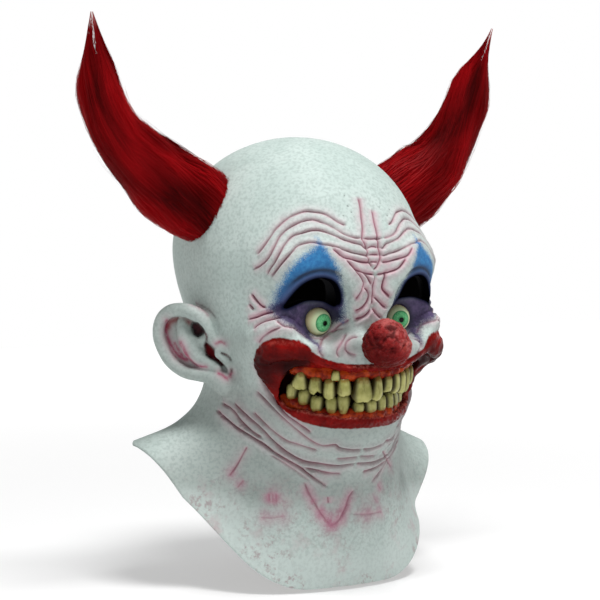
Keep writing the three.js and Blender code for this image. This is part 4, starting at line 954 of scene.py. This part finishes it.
ear_pink, ear_maroon_and_shade = np.zeros(len(p)), np.zeros(len(p))
for strength, wide, points in EAR_STROKES["pink"]:
    ear_pink = np.maximum(ear_pink, strength * stroke(points, wide))
    haze = np.maximum(haze, 0.75 * strength * stroke(points, wide * 3))
# dark red paint and painted shade in the ear's hollows and creases
for strength, wide, points in EAR_STROKES["dark"]:
    ear_maroon_and_shade = np.maximum(ear_maroon_and_shade, strength * stroke(points, wide))
ear_maroon_and_shade = np.maximum(ear_maroon_and_shade, 0.93 * ear_area(FOSSA, 3.6) * smooth(0.3 - w / 4))
ear_red = ear_area(CONCHA, 3.0) * smooth(0.5 - w / 4)
for strength, wide, points in EAR_STROKES["red"]:
    ear_red = np.maximum(ear_red, strength * stroke(points, wide) * smooth(0.4 - w / 4))
# painted shade, partly grey grime: under the jaw and on the neck, behind the ear, low on the side of the face, on the
# pad beside the nose, on the side of the neck and on the ear's lobe
shade_and_grime = smooth((-p[:, 2] - 88) / 20) * smooth((p[:, 2] + 205) / 30) * smooth((p[:, 1] + 30) / 45)
shade_and_grime = np.maximum((0.62 - 0.22 * smooth((-p[:, 2] - 118) / 22)) * shade_and_grime, 0.3 * smooth((40 - p[:, 1]) / 30) * smooth((ax - 70) / 20) * smooth((30 - p[:, 2]) / 60) * smooth((p[:, 2] + 150) / 40))
shade_and_grime = np.maximum(shade_and_grime, 0.32 * smooth((ax - 62) / 14) * smooth((-p[:, 2] - 48) / 22) * smooth((p[:, 2] + 140) / 25))
shade_and_grime = np.maximum(shade_and_grime, np.where(front, 0.95 * np.exp(-(((ax - 27) / 14) ** 2) - ((p[:, 2] + 66) / 11) ** 2), 0))
shade_and_grime = np.maximum(shade_and_grime, 0.2 * smooth((ax - 84) / 12) * smooth((-p[:, 2] - 120) / 20) * smooth((p[:, 2] + 190) / 25))
shade_and_grime = np.maximum(shade_and_grime, np.where(on_ear, 0.45 * smooth((-v - 4) / 10), 0))
fields = {
    "crease": crease,
    "wash": wash,
    "bib": smooth((-p[:, 2] - 150) / 40) * (0.6 + 0.4 * smooth((beyond_edge(*p.T) + 40) / 40)),
    "shade_and_grime": shade_and_grime,
    "haze": haze,
    "pore": pore,
    "lip_shade": lip_shade,
    # where the lips face upwards, for their painted highlight
    "lip_top": smooth((n[:, 2] - 0.25) / 0.5),
    "lid": lid,
    "smear": smear,
    # socket: painted shade round the eyeball and at the corners of the eye
    "socket": np.where(front, np.exp(-(((np.hypot(ax - EYE["x"], p[:, 2] - EYE["z"]) - 12.2) / 2.0) ** 2)) + np.exp(-((ax - 22) / 5) ** 2 - ((p[:, 2] + 46) / 7) ** 2) + np.exp(-((ax - 66) / 7) ** 2 - ((p[:, 2] + 40) / 5) ** 2), 0) * 0.85,
    "blue": np.where(front, outline_distance(ax, p[:, 2], BLUE_CURVE), 30.0),
    "purple": np.where(front, outline_distance(ax, p[:, 2], PURPLE_CURVE), 30.0),
    "under": smooth((-p[:, 2] - 26) / 12),
    "sight": sight,
    "lip": lip_field,
    "inside": inside,
    "ear_pink": ear_pink,
    "ear_red": ear_red,
    "ear_maroon_and_shade": ear_maroon_and_shade,
}
p = drape(p)
normals = vertex_normals(p, t)
latex = latex_paint()
row = to_row(p)
row_normals = np.stack([normals[:, 0], -normals[:, 1], normals[:, 2]], 1)
is_front = p[t].mean(1)[:, 1] > 44
skins = []
for name, part in (("skin_front", t[is_front]), ("skin_back", t[~is_front])):
    used = np.unique(part)
    back = np.full(len(p), -1)
    back[used] = np.arange(len(used))
    # Y is turned round on the way to the row frame, so the faces are too
    obj = mesh_object(name, row[used], back[part][:, ::-1], {k: x[used] for k, x in fields.items()}, row_normals[used])
    obj.data.materials.append(latex)
    skins.append(obj)

q, s = surface(lining, (-152, -116, -268), (152, 116, 92), 4.0)
q, s, _ = clip(q, s, beyond_edge(*q.T))
q, s, _ = clip(q, s, -sight_distance(*q.T))
# painted shade inside, from pale at the bib to near black above
inner = mesh_object("skin_inside", to_row(drape(q)), s, {"inner_shade": smooth((q[:, 2] + 150) / 50)})
inner.data.materials.append(inside_paint())
skins.append(inner)

# ------------------------------------------------------------------ the nose
def ball_mesh(across, up):
    """A unit ball as points and triangles."""
    a = np.linspace(0, 2 * np.pi, across, endpoint=False)
    b = np.linspace(0, np.pi, up + 1)[1:-1]
    ring = np.stack([np.outer(np.sin(b), np.cos(a)), np.outer(np.sin(b), np.sin(a)), np.outer(np.cos(b), np.ones(across))], -1)
    p = np.concatenate([[[0, 0, 1]], ring.reshape(-1, 3), [[0, 0, -1]]])
    i = np.arange(across)
    j = (i + 1) % across
    t = [np.stack([0 * i, 1 + i, 1 + j], 1)]
    for k in range(up - 2):
        lo, hi = 1 + k * across, 1 + (k + 1) * across
        t += [np.stack([lo + i, hi + i, hi + j], 1), np.stack([lo + i, hi + j, lo + j], 1)]
    last = 1 + (up - 2) * across
    t.append(np.stack([last + i, 0 * i + len(p) - 1, last + j], 1))
    return p, np.concatenate(t)


def cracked(d, count, seed):
    """Difference of the distances to the two nearest of a number of random points on the ball: 0 along the cracks."""
    c = np.random.default_rng(seed).normal(size=(count, 3))
    c /= np.linalg.norm(c, axis=1)[:, None]
    near = np.sort(np.sqrt(np.maximum(2 - 2 * d @ c.T, 0)), axis=1)
    return near[:, 1] - near[:, 0]


d, t = ball_mesh(240, 160)
bent = d + 0.13 * np.stack([grain(d * 30 + k, 0.7) for k in (0, 40, 80)], 1)
bent = bent * (1.0, 1.0, 1.45)  # the lumps lie flat
bent /= np.linalg.norm(bent, axis=1)[:, None]
big, small = smooth(cracked(bent, 22, 5) / 0.2), smooth(cracked(bent, 320, 6) / 0.09)
rolling, rough = grain(d * (10, 10, 27), 0.7), grain(d * (34, 34, 60), 0.9)
pits = sum(k * np.exp(-(((d - np.array(at)) ** 2).sum(1) / wide)) for k, wide, at in ((1, 0.05, (-0.83, 0.5, 0.25)), (0.6, 0.02, (-0.62, 0.74, 0.2)), (0.55, 0.015, (-0.25, 0.96, 0.1)), (0.5, 0.012, (-0.3, 0.9, -0.3)), (0.6, 0.03, (-0.75, 0.4, -0.5))))
lumps = 0.5 * big + 0.35 * small + 1.0 * rolling + 0.6 * rough - 2.3 * pits
# crust: the mask for the painted shade, 0 in the cracks and in the pits
crust = np.clip(0.42 + 0.14 * big + 0.14 * small + 0.32 * rolling + 0.26 * rough, 0, 1) * (1 - 0.9 * np.clip(pits, 0, 1))
nose_p = np.array([0, 117.5, -64.4]) + d * (16.9 + lumps)[:, None]
nose = mesh_object("nose_ball", to_row(nose_p), t[:, ::-1], {"crust": crust, "rise": d @ np.array([0.5, 0.31, 0.6])})
nose.data.materials.append(nose_paint())

# ------------------------------------------------------------------ the eyes
eyes = []
eye_look = eye_paint()
for name, side in (("eye_right", -1), ("eye_left", 1)):
    d, t = ball_mesh(72, 60)
    gaze, low = math.radians(EYE["look"][side]), math.radians(EYE["low"])
    aim = np.array([math.sin(gaze) * math.cos(low), math.cos(gaze) * math.cos(low), math.sin(low)])
    turn = np.degrees(np.arccos(np.clip(d @ aim, -1, 1)))
    ball = np.array([side * EYE["x"], EYE["f"], EYE["z"]]) + d * EYE["r"]
    obj = mesh_object(name + "_ball", to_row(ball), t[:, ::-1], {"turn": turn})
    obj.data.materials.append(eye_look)
    eyes.append((obj, name))

# ------------------------------------------------------------------ gums and teeth
UPPER = [  # x middle, width along the arch, root z, edge z, lean in degrees, narrowing at the root
    (-48.5, 11.4, -85.5, -99.4, 10, 0.42), (-40, 9.6, -89.0, -102.9, 4, 0.16), (-32.3, 8.4, -90.6, -106.2, 2, 0.12), (-23.2, 10.2, -90.4, -104, 0, 0.2),
    (-9.6, 14.8, -89.0, -108.9, -4, 0.34), (1.5, 9.0, -89.5, -108, 3, 0.3), (11.6, 8.4, -90, -102.5, 3, 0.15), (20.5, 7.6, -88, -104, 0, 0.15), (28, 8.1, -87, -105, 0, 0.15),
    (36, 9.1, -85.6, -104.5, 0, 0.15), (44.5, 10, -84.6, -100, -6, 0.2), (-28.9, 7.2, -84.2, -92.8, 6, 0.3),
]
LOWER = [
    (-46.7, 8.8, -108, -95.7, 10, 0.15), (-41, 9.1, -112, -99.9, 8, 0.15), (-34.3, 9.4, -117, -104.5, 4, 0.12), (-26.6, 8.8, -117.5, -104.7, 0, 0.2), (-19.6, 9.7, -118, -103.4, 0, 0.34),
    (-8.9, 8.2, -117, -109.4, 0, 0.1), (0.1, 9.2, -117.5, -107.4, 0, 0.1), (10, 9.4, -117.5, -104.8, 0, 0.2), (20, 9.5, -117, -103.5, 0, 0.2), (28.5, 9.4, -116, -104, 0, 0.15),
    (36, 9.4, -114.5, -103, -4, 0.15), (43, 9, -111.5, -99.5, -8, 0.15),
]
SHAPES = np.random.default_rng(8)


ARCHES = {"upper": (105.5, 0.01084), "lower": (98.5, 0.0145)}  # middle f, fall per mm of x squared


def teeth_mesh(name, rows, arch):
    middle, fall = ARCHES[arch]
    points, faces, rise, gap, count = [], [], [], [], 0
    unit, t = ball_mesh(36, 28)
    for x, width, root, edge, lean, narrow in rows:
        a, b, c = (np.sign(v) * np.abs(v) ** k for v, k in zip(unit.T, (0.68, 0.82, 0.7)))
        toward = c * np.sign(edge - root)  # 1 at the biting edge
        taper = 1 - narrow * smooth((0.7 - toward) / 1.6)
        px = a * width * 0.62 * taper
        pz = c * abs(edge - root) / 2
        pf = b * 3.8 + 1.2 * (1 - a * a) * (b > 0) - 0.5 * toward
        nicks = SHAPES.uniform(0, 6.3, 3)
        ragged = 0.35 * np.sin(px * 0.9 + nicks[0]) + 0.2 * np.sin(px * 2.3 + nicks[1])
        chip = 2.2 * np.exp(-(((px - width * 0.18) / 1.7) ** 2)) if x == -40 else 0
        pz = pz + (ragged - chip) * smooth((toward - 0.1) / 0.7) * np.sign(edge - root)
        pf = pf + 0.25 * np.sin(px * 1.1 + nicks[2]) * (b > 0)
        slope = math.radians(lean)
        px, pz = px * math.cos(slope) + pz * math.sin(slope), pz * math.cos(slope) - px * math.sin(slope)
        turn = math.atan(2 * fall * x) + SHAPES.uniform(-0.1, 0.1)
        depth = middle - fall * x * x - 3.6 + SHAPES.uniform(-0.6, 0.6) + (1.6 if width < 7.3 else 0)
        points.append(np.stack([x + px * math.cos(turn) + pf * math.sin(turn), depth + pf * math.cos(turn) - px * math.sin(turn), (root + edge) / 2 + pz], 1))
        faces.append(t + count)
        count += len(unit)
        rise.append((toward + 1) / 2)
        gap.append(np.maximum(0.95 * smooth((np.abs(a) - 0.44) / 0.46), 0.9 * smooth((0.25 - b) / 0.5)))
    return mesh_object(name, to_row(np.concatenate(points)), np.concatenate(faces)[:, ::-1], {"rise": np.concatenate(rise), "gap": np.clip(np.concatenate(gap), 0, 0.95)})


def gum_mesh(name, rows, arch):
    # two ridges along the arch, the one by the teeth swelling at each root
    middle, fall = ARCHES[arch]
    way = 1 if arch == "upper" else -1
    order = sorted(r for r in rows if r[1] > 7.3)

    def field(x, f, z):
        d = None
        for out, up, thick in ((-6.0, 1.5, 5.0), (-5.8, 5.6, 4.2)):
            line = []
            for x0 in np.linspace(-50, 50, 15):
                root = np.interp(x0, [r[0] for r in order], [r[2] for r in order])
                line.append((x0, middle - fall * x0 * x0 + out, root + way * up, thick))
            e = chain(x, f, z, line, 2)
            d = e if d is None else meld(d, e, 2.0)
        for x0, width, root, edge, lean, narrow in order:
            d = meld(d, ellipsoid(x, f, z, (x0, middle - fall * x0 * x0 - 3.6, root + way * 1.6, width * 0.44, 4.6, 4.4)), 1.2)
        return d

    low, high = ((-62, 58, -100), (62, 112, -68)) if arch == "upper" else ((-62, 54, -132), (62, 108, -96))
    p, t = surface(field, low, high, 1.0)
    p = p + vertex_normals(p, t) * (0.45 * grain(p, 1.6))[:, None]
    # deep: how far behind the teeth, for the gums' painted shade
    deep = np.clip((middle - fall * p[:, 0] ** 2 - 5.5 - p[:, 1]) / 4, 0, 1)
    return mesh_object(name, to_row(p), t[:, ::-1], {"deep": deep})


tooth_look, gum_look = tooth_paint(), gum_paint()
mouth_pieces = []
for node, rows, arch in (("upper_teeth", UPPER, "upper"), ("lower_teeth", LOWER, "lower")):
    teeth = teeth_mesh(node + "_row", rows, arch)
    teeth.data.materials.append(tooth_look)
    gums = gum_mesh(node.replace("teeth", "gum"), rows, arch)
    gums.data.materials.append(gum_look)
    mouth_pieces += [(teeth, node), (gums, node)]

# ------------------------------------------------------------------ tufts of hair
TUFT_RIGHT = [  # x, f, z, r
    (-71, -8, 25.3, 26), (-86, -8, 35.2, 28.4), (-117.8, -7, 55.1, 27.5), (-138.9, -6, 71.2, 24.2), (-157, -5, 87.4, 19.2), (-166.9, -4, 105.7, 16.2),
    (-171.2, -4, 120, 15.6), (-173.5, -3, 135, 13.1), (-176, -2, 151, 8.3), (-178.5, -1, 164, 4.1), (-179.5, 0, 177, 0.9),
]
TUFT_LEFT = [
    (70, -8, 24, 30), (85, -8, 35, 31), (120, -7, 56, 28.2), (139, -6, 73.5, 22.6), (151, -5, 92, 18.4), (159, -4, 110, 17.2),
    (167.5, -4, 130, 15.2), (171, -3, 142, 12.4), (175.5, -2.5, 150, 8), (179.5, -2, 156.5, 3.6), (183, -1, 169, 1.9), (186.5, 0, 180, 0.8),
]


def tuft_frame(rows):
    line = flowing(rows, 10)
    along = np.gradient(line[:, :3], axis=0)
    along /= np.linalg.norm(along, axis=1)[:, None]
    across = np.array([0, 1.0, 0]) - along * along[:, 1:2]
    across /= np.linalg.norm(across, axis=1)[:, None]
    steps = np.concatenate([[0], np.cumsum(np.linalg.norm(np.diff(line[:, :3], axis=0), axis=1))])
    return line, across, np.cross(along, across), steps / steps[-1]


def at_tuft(tuft, s, phi, rho):
    """Points at share s of the run, angle phi and share rho of the outline's radius."""
    line, across, up, share = tuft
    pick = [np.interp(s, share, c) for c in (*line.T, *across.T, *up.T)]
    centre, r = np.stack(pick[:3], -1), np.maximum(pick[3], 0.2)
    out = np.stack(pick[4:7], -1) * np.cos(phi)[..., None] + np.stack(pick[7:10], -1) * np.sin(phi)[..., None]
    return centre + out * (r * rho)[..., None], out


def turned(n):
    n = n / np.maximum(np.linalg.norm(n, axis=1), 1e-9)[:, None]
    return np.stack([n[:, 0], -n[:, 1], n[:, 2]], 1)


def tuft_pieces(name, rows, seed, strands, deep):
    r = np.random.default_rng(seed)
    tuft = tuft_frame(rows)

    def swell(s, phi):
        # the tuft is uneven round its outline and along it
        return 0.06 * np.sin(2 * phi + 9 * s + seed) + 0.055 * np.sin(3 * phi - 15 * s + 2 * seed) + 0.035 * np.sin(4 * phi + 26 * s) + 0.02 * np.sin(phi + 41 * s)

    def tone_at(s, phi):
        # painted light and shade: broad light and dark places, darkest in a hollow along one side, lighter and darker
        # with the swellings of the outline, with some tone that varies round it
        hollow_shade = np.exp(-((((phi - 0.55 + np.pi) % (2 * np.pi) - np.pi) / 0.62) ** 2)) * np.exp(-(((s - deep) / 0.3) ** 2))
        return 0.7 - 0.55 * hollow_shade + 3.0 * swell(s, phi + 0.25) + 0.10 * np.sin(3 * phi + 11 * s + 1) + 0.08 * np.sin(7 * phi - 6 * s)

    # core
    s, a = np.meshgrid(np.linspace(0, 0.8, 90), np.linspace(0, 2 * np.pi, 96, endpoint=False), indexing="ij")
    rib = 0.9 + swell(s, a) + 0.012 * np.sin(a * 17 + 4 * np.sin(s * 6)) + 0.01 * np.sin(a * 41 + 5 * np.sin(s * 9 + 1))
    rib = rib * smooth((0.81 - s) / 0.16 + 0.15)
    core, _ = at_tuft(tuft, s, a, rib)
    n0, n1 = s.shape
    i, j = np.meshgrid(np.arange(n0 - 1), np.arange(n1), indexing="ij")
    k = (j + 1) % n1
    quad = np.stack([i * n1 + j, i * n1 + k, (i + 1) * n1 + k, (i + 1) * n1 + j], -1).reshape(-1, 4)
    tri = np.concatenate([quad[:, [0, 1, 2]], quad[:, [0, 2, 3]]])
    points, faces = [core.reshape(-1, 3)], [tri]
    # the core is given painted shade, a little darker than the strands over it
    shade = [np.clip(tone_at(s, a) - 0.15, 0, 1).ravel()]
    _, core_out = at_tuft(tuft, s, a, rib)
    normals = [core_out.reshape(-1, 3)]
    along = [s.ravel() * 0.9]
    count = len(points[0])
    # strands, gathered into locks that end in points
    locks = 260
    lock_phi, lock_rho = r.uniform(0, 2 * np.pi, locks), r.uniform(0.85, 1.0, locks)
    lock_end, lock_tone = r.uniform(0.2, 1.0, locks) ** 0.45, r.normal(0, 0.07, locks)
    lock_wave, lock_phase = r.uniform(0.04, 0.16, locks), r.uniform(0, 6.28, locks)
    m = 8
    which = r.integers(0, locks, strands)
    grow = np.linspace(0, 1, m)[None]
    start = r.uniform(-0.01, 0.06, strands) + (r.uniform(0, 1, strands) < 0.55) * r.uniform(0, 0.5, strands)
    end = np.clip(lock_end[which] + r.normal(0, 0.05, strands), start + 0.12, 1.012)
    s = start[:, None] + (end - start)[:, None] * grow
    phi = lock_phi[which][:, None] + r.normal(0, 0.16, strands)[:, None] * (1 - 0.7 * grow) + lock_wave[which][:, None] * np.sin(7 * s + lock_phase[which][:, None])
    phi = phi + 0.35 * np.sin(4.0 * s + seed) + 0.02 * np.sin(40 * s + r.uniform(0, 6.28, strands)[:, None])
    rho = lock_rho[which][:, None] + swell(s, phi) + r.normal(0, 0.03, strands)[:, None] - 0.05 * (1 - grow)
    rho = rho + 0.025 * np.sin(13 * s + lock_phase[which][:, None])
    loose = r.uniform(0, 1, strands) < 0.05
    rho = rho + (loose * r.uniform(0.02, 0.2, strands))[:, None] * grow**2
    # near the point the tuft parts into a few wisps
    wisp = smooth((s - 0.74) / 0.16)
    gather = np.round(phi / (2 * np.pi / 4)) * (2 * np.pi / 4)
    phi = phi + (gather - phi) * 0.88 * wisp
    rho = rho * (1 - 0.1 * wisp)
    mid, out = at_tuft(tuft, s, phi, np.clip(rho, 0.1, 1.2))
    run = np.gradient(mid, axis=1)
    side = np.cross(run, out)
    side /= np.maximum(np.linalg.norm(side, axis=2), 1e-9)[..., None]
    roll = r.uniform(-0.4, 0.4, strands)[:, None, None]
    side = side * np.cos(roll) + out * np.sin(roll)
    width = (0.32 * r.uniform(0.6, 1.4, strands))[:, None] * (1 - 0.85 * grow**2) * (0.7 + 0.3 * (grow > 0))
    left, right = mid - side * width[..., None], mid + side * width[..., None]
    both = np.stack([left, right], 2).reshape(-1, 3)
    base = count + (np.arange(strands)[:, None] * m + np.arange(m - 1)[None]) * 2
    tri = np.stack([np.stack([base, base + 1, base + 3], -1), np.stack([base, base + 3, base + 2], -1)], 2).reshape(-1, 3)
    points.append(both)
    faces.append(tri)
    tone = tone_at(s, phi) + (lock_tone[which] + r.normal(0, 0.05, strands))[:, None]
    lean = out + 0.35 * side * r.uniform(-1, 1, strands)[:, None, None]
    normals.append(np.repeat(lean, 2, axis=1).reshape(-1, 3))
    shade.append(np.repeat(np.clip(tone, 0, 1).reshape(-1), 2))
    along.append(np.repeat(s.reshape(-1), 2))
    obj = mesh_object(name + "_strands", to_row(np.concatenate(points)), np.concatenate(faces)[:, ::-1], {"shade": np.concatenate(shade), "along": np.concatenate(along)}, turned(np.concatenate(normals)))
    obj.data.materials.append(hair_look)
    return obj, name


hair_look = hair_paint()
tufts = [tuft_pieces("hair_tuft_right", TUFT_RIGHT, 3, 12500, 0.22), tuft_pieces("hair_tuft_left", TUFT_LEFT, 4, 12500, 0.55)]

# ------------------------------------------------------------------ which part each piece stands for
for obj in skins:
    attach(obj, "root")
    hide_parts("latex_shell")
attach(nose, "root")
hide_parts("nose")
for obj, node in eyes:
    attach(obj, "root")
    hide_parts(node)
for obj, node in mouth_pieces:
    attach(obj, "root")
    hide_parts(node)
for obj, node in tufts:
    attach(obj, "root")
    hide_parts(node)

# ------------------------------------------------------------------ stage, light and camera
def stage_plane(name, size, place, turn, paint):
    h = size / 2
    obj = mesh_object(name, np.array([(-h, -h, 0), (h, -h, 0), (h, h, 0), (-h, h, 0)]), np.array([[0, 1, 2, 3]]))
    obj.location = place
    obj.rotation_euler = turn
    obj.data.materials.append(paint)
    return obj


floor_paint = Paint("pale floor")
away = floor_paint.tree.nodes.new("ShaderNodeVectorMath")
away.operation = "LENGTH"
floor_paint.tree.links.new(floor_paint.coords(), away.inputs[0])
glow = floor_paint.ramp(away.outputs["Value"], 0.3, 1.9, 0.42, 0.82)
floor_paint.set(Base_Color=(0.52, 0.52, 0.52), Roughness=0.9, Specular_IOR_Level=0.1, Emission_Color=(1, 1, 1), Emission_Strength=glow)
floor = stage_plane("floor", 4.0, (0, 0, -0.3385), (0, 0, 0), floor_paint.material)
floor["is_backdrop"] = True

scene = bpy.context.scene
world = bpy.data.worlds.new("studio")
scene.world = world
world.use_nodes = True
sky = world.node_tree
toward = sky.nodes.new("ShaderNodeTexCoord").outputs["Generated"]
parts = sky.nodes.new("ShaderNodeSeparateXYZ")
sky.links.new(toward, parts.inputs["Vector"])
band = sky.nodes.new("ShaderNodeMapRange")
band.interpolation_type = "SMOOTHSTEP"
for key, value in zip(("From Min", "From Max", "To Min", "To Max"), (0.10, 0.32, 1.0, 0.22)):
    band.inputs[key].default_value = value
sky.links.new(parts.outputs["Z"], band.inputs["Value"])
sky.links.new(band.outputs["Result"], sky.nodes["Background"].inputs["Strength"])
sky.nodes["Background"].inputs["Color"].default_value = (1, 1, 1, 1)


def softbox(name, place, size, power):
    light = bpy.data.lights.new(name, "AREA")
    light.size = size
    light.energy = power
    obj = bpy.data.objects.new(name, light)
    scene.collection.objects.link(obj)
    obj.location = place
    obj.rotation_euler = (Vector((0, 0, -0.13)) - Vector(place)).to_track_quat("-Z", "Y").to_euler()


softbox("key", (-0.05, -0.62, 1.85), 0.75, 54)

YAW, LIFT, REACH = math.radians(32), math.radians(2), 1.5
back = Vector((-math.sin(YAW) * math.cos(LIFT), -math.cos(YAW) * math.cos(LIFT), math.sin(LIFT)))
right = Vector((math.cos(YAW), -math.sin(YAW), 0))
up = back.cross(right)
camera = bpy.data.cameras.new("camera")
camera.sensor_width = 36
camera.lens = 36 * (1500 / 0.78) / 600
camera.shift_x = -1 / 600
camera.shift_y = -50 / 600
eye = bpy.data.objects.new("camera", camera)
scene.collection.objects.link(eye)
turn = Matrix((right, up, back)).transposed().to_4x4()
eye.matrix_world = Matrix.Translation(Vector((0, 0, -CROWN / 1000)) + back * REACH) @ turn
scene.camera = eye
scene.view_settings.view_transform = "Standard"

low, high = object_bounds()
{"cad": [list(cad_low), list(cad_high)], "visual": [list(low), list(high)]}
